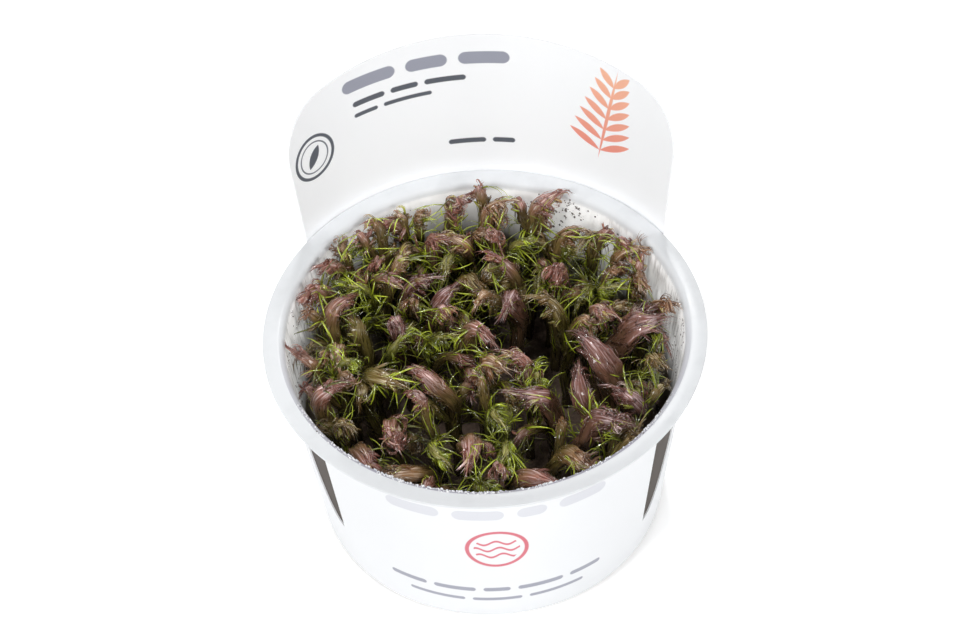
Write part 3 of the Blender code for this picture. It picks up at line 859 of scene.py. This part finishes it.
class StemLine:
    # a shoot's line with an even step, carried on past the tip, and the two sides at each point
    def __init__(self, places, dice, pastTip):
        steps = np.sqrt((np.diff(places, axis=0) ** 2).sum(axis=1))
        reached = np.concatenate([[0], np.cumsum(steps)])
        self.length = reached[-1]
        self.full = self.length + pastTip
        end = places[-1] - places[-2]
        end = end / np.linalg.norm(end)
        hang = end + np.array([0, 0, -shoot["sag"]])
        straightOn = shoot["straightOn"]
        beyond = places[-1] + end * straightOn
        far = beyond + hang / np.linalg.norm(hang) * (pastTip - straightOn)
        knots = np.vstack([places, beyond, far])
        reached = np.concatenate([reached, [self.length + straightOn, self.full]])
        self.along = np.linspace(0, self.full, shoot["fineSteps"])
        self.points = np.stack([np.interp(self.along, reached, knot) for knot in knots.T], axis=1)
        for _ in range(3):
            self.points[1:-1] = (self.points[:-2] + 2 * self.points[1:-1] + self.points[2:]) / 4
        waves = [(dice.uniform(*anyPhase), dice.uniform(*shoot["wanderRates"])) for _ in range(3)]
        grow = np.clip(self.along / (0.3 * self.length), 0, 1)
        for axis, (phase, rate) in enumerate(waves):
            self.points[:, axis] += shoot["wander"] * grow * np.sin(phase + rate * self.along)
        ways = np.gradient(self.points, axis=0)
        self.ways = ways / np.linalg.norm(ways, axis=1)[:, None]
        # level at the tip, and carried down to the foot without a twist
        side = np.cross(self.ways[-1], (0, 0, 1))
        sides = []
        for way in self.ways[::-1]:
            side = side - way * side.dot(way)
            side = side / np.linalg.norm(side)
            sides.append(side)
        self.sides = np.array(sides[::-1])
        self.others = np.cross(self.ways, self.sides)
        self.flat = 0.0

    def read(self, values, along):
        along = np.clip(along, 0, self.full)
        return np.stack([np.interp(along, self.along, value) for value in values.T], axis=-1)

    def at(self, along):
        return self.read(self.points, along)

    def way(self, along):
        return self.read(self.ways, along)

    def out(self, along, turn):
        # away from the stem; a fan is wider than it is thick near its tip
        side, other = self.read(self.sides, along), self.read(self.others, along)
        flat = self.flat * np.clip(along / self.length * 2 - 1, 0, 1)
        wide = np.cos(turn) * (1 + shoot["fanWide"] * flat)
        thin = np.sin(turn) * (1 - shoot["fanThin"] * flat)
        return side * wide[:, None] + other * thin[:, None]


needle = {
    "length": 8.5 * mm, "halfWidth": 0.225 * mm, "flatness": 0.5, "sides": 3,
    "twistFrom": 0.3, "fatFrom": 1.1, "fatMost": 0.6,
    "clingRings": [(0.6, 0.0), (1.0, 0.36), (0.75, 0.72), (0.10, 1.0)],
    "hookRings": [(0.5, 0.0), (0.95, 0.18), (1.0, 0.42), (0.85, 0.64), (0.55, 0.84), (0.10, 1.0)],
}
clingShares = np.array([share for _, share in needle["clingRings"]])
hookShares = np.array([share for _, share in needle["hookRings"]])

# How a shoot's wet leaves lie, in mm and degrees. cling: leaves along the sheath, drawn into locks
# that stand off it; points: wet points that crowd the tip and hook over, from a share of the length
# on; tufts: green leaves that stand off; hang: strands that drip from the arch
leafKeys = (
    "cling", "stand", "locks", "flat", "swell", "pointFrom", "points", "pointLength", "pointSpread", "hook",
    "overOut", "lean", "tufts", "hang")
leafRows = {
    "brush": (140, (0.0, 0.9), 5, 0.2, 1.0, 0.80, 16, (2.4, 4.8), (0, 28), (60, 230), 0.0, 1.0, 7, 0),
    "fan": (230, (0.2, 1.4), 12, 1.0, 1.15, 0.84, 26, (3.0, 5.0), (5, 40), (20, 110), 0.3, 1.0, 3, 0),
    "curl": (110, (0.0, 0.8), 4, 0.0, 0.9, 0.62, 44, (3.0, 6.5), (5, 55), (160, 340), -0.3, 1.3, 9, 2),
    "comb": (90, (0.0, 0.6), 4, 0.0, 0.62, 0.60, 34, (2.4, 5.2), (10, 70), (130, 320), 0.0, 1.2, 4, 11),
    "crown": (120, (0.0, 0.8), 5, 0.0, 0.9, 0.68, 42, (3.0, 6.2), (25, 75), (120, 290), -0.9, 0.6, 8, 0),
    "loose": (120, (0.1, 1.3), 6, 0.3, 0.8, 0.50, 30, (2.4, 5.5), (5, 70), (60, 260), 0.2, 1.0, 13, 2),
    "spray": (80, (0.2, 1.3), 5, 0.0, 0.55, 0.45, 24, (3.0, 6.0), (10, 60), (90, 270), 0.2, 0.8, 17, 0),
}
leafStyles = {name: dict(zip(leafKeys, row)) for name, row in leafRows.items()}

leafSizes = {
    "clingSpan": (0.03, 0.97), "clingLength": (6.0, 9.5), "width": (0.55, 1.05), "bellies": (1.0, 1.2),
    "lockStep": 5.0, "lockRise": 0.37, "lockRows": 40, "lockPull": 0.75, "lockTurn": 0.8,
    "swing": 0.9, "swingRate": 150,
    "pointLeaves": 5, "pointWidth": (0.45, 0.85), "fatPoint": (1.1, 2.2), "hookLate": 1.25,
    "pointDepth": (0.35, 0.85), "pointJitter": 0.13, "pointLean": 0.6, "pointSag": 0.7, "pointBloom": 0.6,
    "tuftSpan": (0.32, 0.95), "tuftLeaves": 3, "tuftLength": (3.8, 10.5), "tuftSpread": (15, 80),
    "tuftHook": (25, 160), "tuftWidth": (0.6, 1.1), "tuftDrop": 0.5, "bladeShare": 0.18, "bladeWidth": 1.8,
    "tuftJitter": 0.28, "tuftWish": 0.7, "gapRoom": 0.8,
    "hangSpan": (0.62, 0.99), "hangLength": (4.5, 8.0), "hangLeaves": 3, "hangHook": (20, 75),
    "hangWidth": 1.8, "hangBack": 0.45,
    # how near the wall leaves turn in, and up to which height
    "wallFrom": 35.0 * mm, "wallSpan": 6 * mm, "turnIn": 1.4, "mouth": 56 * mm, "overMouth": 64 * mm,
}

# dark gaps between the shoots that stay open: x, y, radius in mm
openGaps = [(10, 8, 8), (24, -8, 7), (15, -27, 6.5), (-25, 3, 7), (-15, -29, 5), (-6, -17, 7),
            (-27, -20, 6), (33, -2, 5), (-12, 0, 4)]

# the wet leaves that have run together round a stem: share along it, radius in mm
sheath = {
    "outline": [(0.0, 1.15), (0.25, 1.35), (0.5, 1.6), (0.72, 1.95), (0.86, 2.0), (0.95, 1.35), (1.0, 0.55),
                (1.04, 0.12)],
    "steps": 44, "sides": 16, "smallSides": 10, "ridge": 0.16, "fold": 0.12, "groove": 0.08, "swirl": 5.0,
}


def sheathRadius(share):
    shares, radii = zip(*sheath["outline"])
    return np.interp(share, shares, radii) * mm


def modelNeedle(rings):
    half, length = needle["halfWidth"], needle["length"]
    rings = [(half * wide, length * share) for wide, share in needle[rings]]
    return flattened(pullUp("needle", rings, needle["sides"]), (1, needle["flatness"], 1))


def unit(rows):
    return rows / (np.linalg.norm(rows, axis=-1, keepdims=True) + 1e-9)


def bowed(feet, knees, tips, faces):
    # middle lines of leaves bowed from foot to tip: where, which way, and across, at each ring
    share = clingShares[None, :, None]
    feet, knees, tips = feet[:, None, :], knees[:, None, :], tips[:, None, :]
    places = feet * (1 - share) ** 2 + knees * 2 * share * (1 - share) + tips * share ** 2
    ways = unit((knees - feet) * (1 - share) + (tips - knees) * share)
    return places, ways, unit(np.cross(ways, faces[:, None, :]))


def hooked(feet, first, wish, lengths, turns):
    # middle lines that start one way and curl towards another, tighter towards the tip
    first = unit(first)
    aside = unit(wish - first * (wish * first).sum(axis=1)[:, None])
    angles = turns[:, None] * hookShares ** leafSizes["hookLate"]
    middles = (angles[:, 1:] + angles[:, :-1]) / 2

    def towards(angle):
        return first[:, None, :] * np.cos(angle)[..., None] + aside[:, None, :] * np.sin(angle)[..., None]

    steps = towards(middles) * (np.diff(hookShares) * lengths[:, None])[..., None]
    steps = np.concatenate([np.zeros_like(steps[:, :1]), np.cumsum(steps, axis=1)], axis=1)
    places = feet[:, None, :] + steps
    across = np.broadcast_to(np.cross(first, aside)[:, None, :], places.shape)
    return places, towards(angles), across


class LeafHeap:
    # a shoot's leaves: their middle lines, widths and tones
    def __init__(self, dice, shares):
        self.dice, self.shares = dice, shares
        self.rows = {name: [] for name in ("places", "ways", "across", "widths", "twists", "tones")}

    def put(self, lines, widths, twist, luck, starts, stops, kind):
        count = len(widths)
        starts, stops = np.broadcast_to(starts, count), np.broadcast_to(stops, count)
        tones = np.stack([luck, starts, stops, np.full(count, kind)], axis=1)
        twists = self.dice.uniform(-twist, twist, count)
        for name, values in zip(self.rows, (*lines, widths, twists, tones)):
            self.rows[name].append(values)

    def all(self):
        return [np.concatenate(values) for values in self.rows.values()]


def layLeaves(leaf, heap, name):
    # a row of needles by an Array, then each laid along its own middle line
    places, ways, across, widths, twists, tones = heap.all()
    flat = cornersOf(leaf)
    piece = leaf.copy()
    piece.data = leaf.data.copy()
    piece.name = piece.data.name = name
    bpy.context.scene.collection.objects.link(piece)
    repeatPiece(piece, len(widths))
    share = flat[:, 2] / needle["length"]
    ring = np.abs(share[:, None] - heap.shares[None, :]).argmin(axis=1)
    places, ways, across = places[:, ring], ways[:, ring], across[:, ring]
    lift = np.cross(across, ways)
    wring = twists[:, None, None] * (share[None, :, None] - needle["twistFrom"])
    # fat leaves run out finer
    fat = np.clip(widths[:, None, None] - needle["fatFrom"], 0, needle["fatMost"])
    sizes = widths[:, None, None] * (1 - fat * share[None, :, None])
    aside, thick = flat[None, :, 0:1] * sizes, flat[None, :, 1:2] * sizes
    spots = places + across * (aside * np.cos(wring) - thick * np.sin(wring))
    spots = spots + lift * (aside * np.sin(wring) + thick * np.cos(wring))
    full = np.empty((len(widths), len(flat), 4))
    full[:, :, 0] = tones[:, 0:1]
    full[:, :, 1] = share
    full[:, :, 2] = tones[:, 1:2] + (tones[:, 2:3] - tones[:, 1:2]) * share
    full[:, :, 3] = tones[:, 3:4]
    setCorners(piece, keptInside(spots.reshape(-1, 3), shoot["wallGap"]), "leafTone", full)
    return piece


def turnedIn(feet, ways, below):
    # leaves whose foot is near the wall don't head into it
    reach = np.hypot(feet[:, 0], feet[:, 1])
    radial = np.stack([feet[:, 0], feet[:, 1], 0 * reach], axis=1) / (reach[:, None] + 1e-9)
    near = np.clip((reach - leafSizes["wallFrom"]) / leafSizes["wallSpan"], 0, 1) * (feet[:, 2] < below)
    outward = np.maximum(0, (ways * radial).sum(axis=1)) * near * leafSizes["turnIn"]
    return ways - radial * outward[:, None]


def growSheath(line, look, stoutness, dice, name, small):
    # one tube pulled up straight, then laid along the line with ridges where the locks run
    steps, sides = sheath["steps"], sheath["sides"]
    if small:
        steps, sides = steps // 2, sheath["smallSides"]
    last = sheath["outline"][-1][0]
    shares = [last * step / steps for step in range(steps + 1)]
    rings = [(float(sheathRadius(share)), share * line.length) for share in shares]
    piece = pullUp(name + "Sheath", rings, sides)
    piece.data.shade_smooth()
    flat = cornersOf(piece)
    along = flat[:, 2]
    share = along / line.length
    turn = np.arctan2(flat[:, 1], flat[:, 0])
    radius = np.hypot(flat[:, 0], flat[:, 1]) * stoutness * look["swell"]
    phases = dice.uniform(*anyPhase, 4)
    swirl = sheath["swirl"] * share
    radius *= 1 + sheath["ridge"] * np.sin(look["locks"] * turn + swirl + phases[0])
    radius *= 1 + sheath["fold"] * np.sin(2 * turn + 21 * share + phases[1]) * np.sin(33 * share + phases[2])
    radius *= 1 + sheath["groove"] * np.sin(9 * turn - 14 * share + phases[3])
    spots = line.at(along) + line.out(along, turn) * radius[:, None]
    tones = np.stack([turn / (2 * math.pi) + 0.5, share, share, np.full(len(flat), 1.0)], axis=1)
    setCorners(piece, keptInside(spots, shoot["wallGap"]), "leafTone", tones)
    return piece


def clingAlong(heap, line, look, stoutness, few):
    # wet leaves along the stem, their tips drawn together into locks
    dice, count = heap.dice, int(look["cling"] * few)
    share = np.linspace(*leafSizes["clingSpan"], count) + dice.uniform(-0.01, 0.01, count)
    start = share * line.length
    length = dice.uniform(*leafSizes["clingLength"], count) * mm
    length = np.minimum(length, line.length + 5 * mm - start)
    turn = np.arange(count) * golden + dice.uniform(-0.3, 0.3, count)
    # which lock a leaf ends in: how high up, and on which side
    step, aside = leafSizes["lockStep"] * mm, 2 * math.pi / look["locks"]
    side = np.round(turn / aside).astype(int)
    end = start + 0.95 * length
    rise, rows = leafSizes["lockRise"] * side, leafSizes["lockRows"]
    level = np.round(end / step + rise).astype(int)
    lock = level % rows, side % look["locks"]
    lockLuck = dice.random((rows, look["locks"]))[lock]
    stand = dice.uniform(*look["stand"], (rows, look["locks"]))[lock]
    end = end + ((level - rise) * step - end) * leafSizes["lockPull"]
    swing = leafSizes["swing"] * np.sin(end * leafSizes["swingRate"] + dice.uniform(*anyPhase))
    tipTurn = turn + (side * aside - turn) * leafSizes["lockTurn"] + swing
    middle = (start + end) / 2
    size = stoutness * look["swell"]
    low, mid, top = (sheathRadius(place / line.length) * size for place in (start, middle, end))
    tipReach = top + (stand + dice.uniform(-0.1, 0.15, count)) * mm * stoutness
    foot = line.at(start) + line.out(start, turn) * (low * 0.8)[:, None]
    tip = line.at(end) + line.out(end, tipTurn) * tipReach[:, None]
    belly = (mid * dice.uniform(*leafSizes["bellies"], count))[:, None]
    on = line.at(middle) + line.out(middle, (turn + tipTurn) / 2) * belly
    knee = on * 2 - (foot + tip) / 2
    widths = dice.uniform(*leafSizes["width"], count)
    luck = 0.55 * lockLuck + 0.45 * dice.random(count)
    lines = bowed(foot, knee, tip, line.out(start, turn))
    heap.put(lines, widths, 0.5, luck, share, end / line.length, 0.0)


def forEach(values, leaves):
    # a tuft's values, once for each of its leaves
    return np.repeat(values, leaves, axis=0)


def tuftLuck(dice, tufts, leaves, shared):
    # each leaf's luck is partly its tuft's
    luck = shared * forEach(dice.random(tufts), leaves)
    return np.clip(luck + (1 - shared) * dice.random(tufts * leaves), 0, 1)


def splayed(line, dice, shares, leaves, spread):
    # tufts round the stem: each leaf's place, the way out from the stem there, and how it starts
    share = forEach(shares, leaves)
    turn = forEach(dice.uniform(0, 2 * math.pi, len(shares)), leaves)
    spread = forEach(np.radians(dice.uniform(*spread, len(shares))), leaves)
    start = share * line.length
    out = line.out(start, turn)
    first = line.way(start) * np.cos(spread)[:, None] + out * np.sin(spread)[:, None]
    return share, line.at(start), out, first


def crowdTip(heap, line, look, stoutness, kind, few):
    # short wet points that curl over at the tip, each a fat leaf with a few fine ones beside it
    dice = heap.dice
    anyLean = leafSizes["pointLean"]
    lean = line.way(np.array([line.length]))[0] + dice.uniform(-anyLean, anyLean, 3)
    lean = unit(lean * (1, 1, 0)) - (0, 0, leafSizes["pointSag"])
    points, leaves = math.ceil(look["points"] * few), leafSizes["pointLeaves"]
    count = points * leaves
    shares = look["pointFrom"] + (1 - look["pointFrom"]) * dice.random(points) ** leafSizes["pointBloom"]
    share, stem, out, first = splayed(line, dice, shares, leaves, look["pointSpread"])
    jitter = leafSizes["pointJitter"]
    first = first + dice.uniform(-jitter, jitter, (count, 3))
    wish = forEach(dice.uniform(-anyLean, anyLean, (points, 3)), leaves) + out * look["overOut"]
    wish = wish + lean * look["lean"] + dice.uniform(-0.2, 0.2, (count, 3))
    length = forEach(dice.uniform(*look["pointLength"], points), leaves) * dice.uniform(0.8, 1.1, count)
    length = length * mm * (0.6 + 0.4 * stoutness)
    turns = forEach(np.radians(dice.uniform(*look["hook"], points)), leaves)
    turns = turns * dice.uniform(0.85, 1.15, count)
    skin = sheathRadius(share) * stoutness * look["swell"]
    feet = stem + out * (skin * forEach(dice.uniform(*leafSizes["pointDepth"], points), leaves))[:, None]
    feet = feet + dice.uniform(-0.25, 0.25, (count, 3)) * mm
    widths = dice.uniform(*leafSizes["pointWidth"], count)
    widths[::leaves] = dice.uniform(*leafSizes["fatPoint"], points)
    luck = tuftLuck(dice, points, leaves, 0.65)
    lines = hooked(feet, turnedIn(feet, first, leafSizes["mouth"]), wish, length, turns)
    heap.put(lines, widths, 0.5, luck, share, share + 0.18, kind)


def overGaps(places):
    # whether any point of each middle line lies over an open gap
    over = np.zeros(places.shape[:2], bool)
    for x, y, radius in openGaps:
        reach = np.hypot(places[..., 0] - x * mm, places[..., 1] - y * mm)
        over |= reach < (radius - leafSizes["gapRoom"]) * mm
    return over[:, 2:].any(axis=1)


def standTufts(heap, line, look, few):
    # green leaves in small fans, most of them bowed down at the end
    dice = heap.dice
    tufts, leaves = math.ceil(look["tufts"] * few), leafSizes["tuftLeaves"]
    count = tufts * leaves
    shares = dice.uniform(*leafSizes["tuftSpan"], tufts)
    share, stem, out, first = splayed(line, dice, shares, leaves, leafSizes["tuftSpread"])
    jitter, anyWish = leafSizes["tuftJitter"], leafSizes["tuftWish"]
    first = first + dice.uniform(-jitter, jitter, (count, 3))
    wish = dice.uniform(-anyWish, anyWish, (count, 3)) - np.array([0, 0, leafSizes["tuftDrop"]])
    length = dice.uniform(*leafSizes["tuftLength"], count) * mm
    turns = np.radians(dice.uniform(*leafSizes["tuftHook"], count))
    feet = stem + out * 0.5 * mm + dice.uniform(-0.3, 0.3, (count, 3)) * mm
    widths = dice.uniform(*leafSizes["tuftWidth"], count)
    widths[dice.random(count) < leafSizes["bladeShare"]] = leafSizes["bladeWidth"]
    luck = tuftLuck(dice, tufts, leaves, 0.5)
    first, wish = (turnedIn(feet, ways, leafSizes["overMouth"]) for ways in (first, wish))
    lines = hooked(feet, first, wish, length, turns)
    free = ~overGaps(lines[0])
    share = share[free]
    heap.put([part[free] for part in lines], widths[free], 0.9, luck[free], share, share + 0.1, 0.5)


def hangDown(heap, line, look, few):
    # strands that hang from the arch like the teeth of a comb and lean back to the stem
    dice, strands, leaves = heap.dice, round(look["hang"] * few), leafSizes["hangLeaves"]
    if not strands:
        return
    count, (low, high) = strands * leaves, leafSizes["hangSpan"]
    step = (np.arange(strands) + dice.uniform(0, 0.5, strands)) / strands
    share = forEach(low + (high - low) * step, leaves)
    start = share * line.length
    feet = line.at(start) + dice.uniform(-0.4, 0.4, (count, 3)) * mm
    back = unit((line.at(start - 10 * mm) - feet) * (1, 1, 0))
    first = np.array([0, 0, -1.0]) - leafSizes["hangBack"] * back + dice.uniform(-0.12, 0.12, (count, 3))
    length = forEach(dice.uniform(*leafSizes["hangLength"], strands), leaves)
    length = length * dice.uniform(0.85, 1.1, count) * mm
    turns = np.radians(dice.uniform(*leafSizes["hangHook"], count))
    widths = dice.uniform(*leafSizes["pointWidth"], count)
    widths[::leaves] = leafSizes["hangWidth"]
    luck = tuftLuck(dice, strands, leaves, 0.7)
    heap.put(hooked(feet, first, back, length, turns), widths, 0.6, luck, share, share - 0.25, 0.0)


# side shoots fill the canopy between the main ones
sideShoots = {
    "seed": 71, "from": (0.36, 0.48), "reaches": (5.0, 8.0, 11.0), "ways": 20, "rise": (39.0, 53.0),
    "arch": 3.5, "stout": 0.66, "few": 0.42, "pastTip": 5 * mm, "topFrom": 44 * mm, "wallRoom": 2.4,
    "farEnough": 6.0, "nearness": 0.08, "secondEvery": 4, "lowRise": 0.45, "lowOut": 0.15, "highOut": 0.75,
    # along the lip: degrees from the back, how far out and how high in mm
    "lip": [(-66, 42.3, 53.5), (-57, 42.5, 54.5), (-49, 42.8, 55.5), (-42, 42.5, 54.5), (-35, 42.7, 55.5),
            (-28, 42.0, 54.0), (-18, 41.5, 53.0), (-8, 42.0, 54.0), (4, 41.0, 52.0), (14, 41.5, 53.5),
            (46, 42.0, 53.0), (54, 42.5, 54.0), (62, 42.0, 53.0), (-76, 42.0, 52.5), (1, 42.5, 57.0),
            (-62, 37.5, 48.0), (-52, 37.0, 49.0), (-43, 36.5, 47.5), (-34, 36.5, 49.0), (-26, 36.0, 47.0),
            (-14, 36.0, 48.5), (-3, 36.0, 46.5), (24, 36.5, 47.0), (36, 36.5, 48.0)],
    "lipFrom": 0.45, "lipFoot": 0.93, "lipStout": 0.95, "highTip": 51.5 * mm,
    "styles": ["curl", "loose", "brush", "spray", "curl", "crown", "curl"],
    "tints": ["rust", "olive", "green", "rose", "rose", "rust", "olive"],
}


def placeSideShoots(lines):
    # one after another, each towards the emptiest spot that its main shoot can reach
    dice = np.random.default_rng(sideShoots["seed"])
    taken = [point[:2] for line in lines for point in line if point[2] > sideShoots["topFrom"]]
    taken += [np.array(spot[:2]) * mm for spot in openGaps]
    rooms = [0.0] * (len(taken) - len(openGaps)) + [spot[2] * mm for spot in openGaps]
    branches = []

    def branch(parent, base, spot, rise):
        foot, tip = Vector(base), Vector((*spot, rise))
        aside = Vector((*(spot - base[:2]), 0))
        low = foot + Vector((0, 0, sideShoots["lowRise"] * (rise - base[2]))) + aside * sideShoots["lowOut"]
        above = Vector((0, 0, rise - base[2] + sideShoots["arch"] * mm))
        high = foot + aside * sideShoots["highOut"] + above
        branches.append((parent, bezier(foot, low, high, tip)))

    bases = np.array([line[int(sideShoots["lipFrom"] * (len(line) - 1))] for line in lines])
    for degrees, out, rise in sideShoots["lip"]:
        angle = math.radians(degrees)
        spot = out * mm * np.array([math.sin(angle), math.cos(angle)])
        parent = int(np.hypot(*(bases[:, :2] - spot * sideShoots["lipFoot"]).T).argmin())
        branch(parent, bases[parent], spot, rise * mm)
        taken.append(spot)
        rooms.append(0.0)
    for turn, share in enumerate(sideShoots["from"]):
        for parent, line in enumerate(lines):
            if turn and parent % sideShoots["secondEvery"]:
                continue
            base = line[int(share * (len(line) - 1))]
            rise = dice.uniform(*sideShoots["rise"]) * mm
            best = None
            for reach in sideShoots["reaches"]:
                for step in range(sideShoots["ways"]):
                    angle = 2 * math.pi * (step + dice.uniform(-0.4, 0.4)) / sideShoots["ways"]
                    spot = base[:2] + reach * mm * np.array([math.cos(angle), math.sin(angle)])
                    if np.hypot(*spot) > innerRadius(rise) - sideShoots["wallRoom"] * mm:
                        continue
                    near = min(np.hypot(*(spot - other)) - room for other, room in zip(taken, rooms))
                    score = min(near, sideShoots["farEnough"] * mm) - sideShoots["nearness"] * reach * mm
                    if best is None or score > best[0]:
                        best = (score, spot)
            if best is None:
                continue
            spot = best[1]
            taken += [spot, (spot + base[:2]) / 2]
            rooms += [0.0, 0.0]
            branch(parent, base, spot, rise)
    return branches


def growLeaves(line, style, stoutness, dice, needles, name, few=1.0):
    look = leafStyles[style]
    cling, hooks = LeafHeap(dice, clingShares), LeafHeap(dice, hookShares)
    line.flat = look["flat"]
    clingAlong(cling, line, look, stoutness, few)
    crowdTip(hooks, line, look, stoutness, 0.5 if style == "spray" else 0.0, few)
    standTufts(hooks, line, look, few)
    hangDown(hooks, line, look, few)
    pieces = [layLeaves(needles[0], cling, name), layLeaves(needles[1], hooks, name + "Hooks")]
    return joinPieces(pieces + [growSheath(line, look, stoutness, dice, name, few < 1)], name)


def pick(dice, choices):
    return choices[int(dice.integers(len(choices)))]


def growShoot(number, plan, places, sides, needles, finishes):
    dice = np.random.default_rng(shoot["seed"] + number)
    name = f"leafyShoot{number + 1:02d}"
    stoutness, style, tint = plan[5:]
    line = StemLine(places, dice, shoot["pastTip"])
    parts = [growLeaves(line, style, stoutness, dice, needles, name)]
    parts[0].data.materials.append(finishes[tint])
    slotName = "leaf_green" if stoutness < shoot["greenBelow"] else "leaf_rose"
    for count, side in enumerate(sides):
        style = pick(dice, sideShoots["styles"])
        tint = pick(dice, sideShoots["tints"])
        stoutness = sideShoots["stout"]
        if side[-1].z > sideShoots["highTip"]:
            style, tint, stoutness = "comb", "rust" if tint == "rust" else "rose", sideShoots["lipStout"]
        line = StemLine(np.array([tuple(point) for point in side]), dice, sideShoots["pastTip"])
        part = growLeaves(line, style, stoutness, dice, needles, f"{name}side{count}", sideShoots["few"])
        part.data.materials.append(finishes[tint])
        parts.append(part)
    piece = joinPieces(parts, name)
    dressUp(piece, None, slotName, f"shoot_{number + 1:02d}")
    return len(piece.data.polygons)


# leaf colours from the foot of a shoot to its tip, and a head's from its dark leaves to its pale ones; a
# head's last, near-white colour is partly painted highlight
tints = {
    "mauve": [(0.092, 0.063, 0.032), (0.140, 0.082, 0.042), (0.195, 0.084, 0.062)],
    "rose": [(0.084, 0.064, 0.026), (0.150, 0.112, 0.034), (0.22, 0.125, 0.058)],
    "rust": [(0.084, 0.064, 0.026), (0.145, 0.112, 0.032), (0.22, 0.130, 0.050)],
    "olive": [(0.077, 0.062, 0.023), (0.130, 0.108, 0.026), (0.190, 0.145, 0.040)],
    "green": [(0.070, 0.065, 0.023), (0.110, 0.116, 0.020), (0.175, 0.190, 0.028)],
}
heads = {
    "mauve": [(0.095, 0.030, 0.022), (0.190, 0.068, 0.052), (0.28, 0.118, 0.098), (0.84, 0.64, 0.64)],
    "rose": [(0.140, 0.040, 0.024), (0.32, 0.105, 0.075), (0.44, 0.190, 0.140), (0.95, 0.72, 0.70)],
    "rust": [(0.130, 0.045, 0.018), (0.28, 0.115, 0.056), (0.40, 0.210, 0.095), (0.90, 0.72, 0.58)],
    "olive": [(0.100, 0.064, 0.016), (0.22, 0.125, 0.040), (0.32, 0.205, 0.070), (0.80, 0.70, 0.44)],
    "green": [(0.090, 0.080, 0.016), (0.22, 0.200, 0.036), (0.38, 0.320, 0.080), (0.78, 0.76, 0.36)],
}
greens = [(0.120, 0.082, 0.022), (0.150, 0.135, 0.014), (0.26, 0.31, 0.014), (0.60, 0.70, 0.045)]


def wetLeaf(name, tint, head):
    sheet = Sheet(name, tint[2], 0.3, Coat_Roughness=0.06, Coat_IOR=2.15, Specular_IOR_Level=0.15)
    vector, kind = sheet.tone("leafTone")
    luck, along, height = sheet.split(vector)
    place = sheet.place()
    patch = sheet.noise(place, 110.0, 2.0)
    fine = sheet.noise(place, 420.0, 2.0)
    grain = sheet.noise(place, 1600.0, 2.0)
    # fine lines along the sheath, where the first value of the tone runs round it
    lines = sheet.noise(sheet.stretch(vector, (34.0, 5.0, 5.0)), 1.0, 2.0, 0.6)
    onSheath = kind.over(0.75)
    onLeaf = 1 - onSheath
    chance = luck * onLeaf + lines.ramp(0.25, 0.75) * onSheath
    age = height + 0.12 * along * onLeaf + 0.30 * (chance - 0.5)
    age = age + 0.5 * (patch - 0.5) + 0.3 * (fine - 0.5)
    own = sheet.colours(age.ramp(0.1, 1.05), list(zip((0.0, 0.50, 1.0), tint)))
    # a head's leaves differ from dark to pale, and pale ones have pale tips; the palest are partly painted
    # highlight for wet glints
    pale = 0.58 * chance + 0.34 * along + 0.34 * (fine - 0.5) + 0.30 * (patch - 0.5)
    headToneAndGlint = sheet.colours(pale, list(zip((0.05, 0.35, 0.60, 0.83), head)))
    own = sheet.blend((height + 0.3 * (patch - 0.5)).ramp(0.80, 0.97), own, headToneAndGlint)
    high = sheet.split(place)[2].ramp(0.020, 0.052)
    fresh = along * 0.3 + 0.5 * luck + 0.35 * high
    green = sheet.colours(fresh, list(zip((0.28, 0.49, 0.71, 0.94), greens)))
    greener = luck.over(0.70) * patch.ramp(0.42, 0.54) * (1 - height.ramp(0.9, 1.1)) * onLeaf
    colour = sheet.blend(greener, own, green)
    colour = sheet.blend(kind.over(0.25) * onLeaf, colour, green)
    shade = sheet.colours((chance * 0.6 + 0.7 * (1 - fine)).ramp(0.2, 1.0), [
        (0.0, (0.45, 0.45, 0.45)), (1.0, (1.25, 1.25, 1.25))])
    relief = grain * 0.3 + lines * onSheath * 2.0
    return sheet.feed(
        Base_Color=sheet.times(colour, shade), Roughness=0.12 + 0.24 * grain,
        Coat_Weight=1 - onSheath * (0.55 + 0.45 * fine), Normal=sheet.bump(relief, 0.8, 0.2 * mm))


def growShoots():
    girths = [[girth(step / (shoot["samples"] - 1), plan[5]) for step in range(shoot["samples"])]
              for plan in plantingPlan]
    lines = spreadApart([firstLine(plan) for plan in plantingPlan], girths)
    needles = [modelNeedle("clingRings"), modelNeedle("hookRings")]
    finishes = {tint: wetLeaf("wet" + tint.capitalize(), tints[tint], heads[tint]) for tint in tints}
    branches = placeSideShoots(lines)
    faces = largest = 0
    for number, plan in enumerate(plantingPlan):
        sides = [side for parent, side in branches if parent == number]
        grown = growShoot(number, plan, lines[number], sides, needles, finishes)
        faces, largest = faces + grown, max(largest, grown)
    for leaf in needles:
        bpy.data.objects.remove(leaf)
    print("leaf faces", faces, "of the largest", largest)


growShoots()
print("shoots grown")
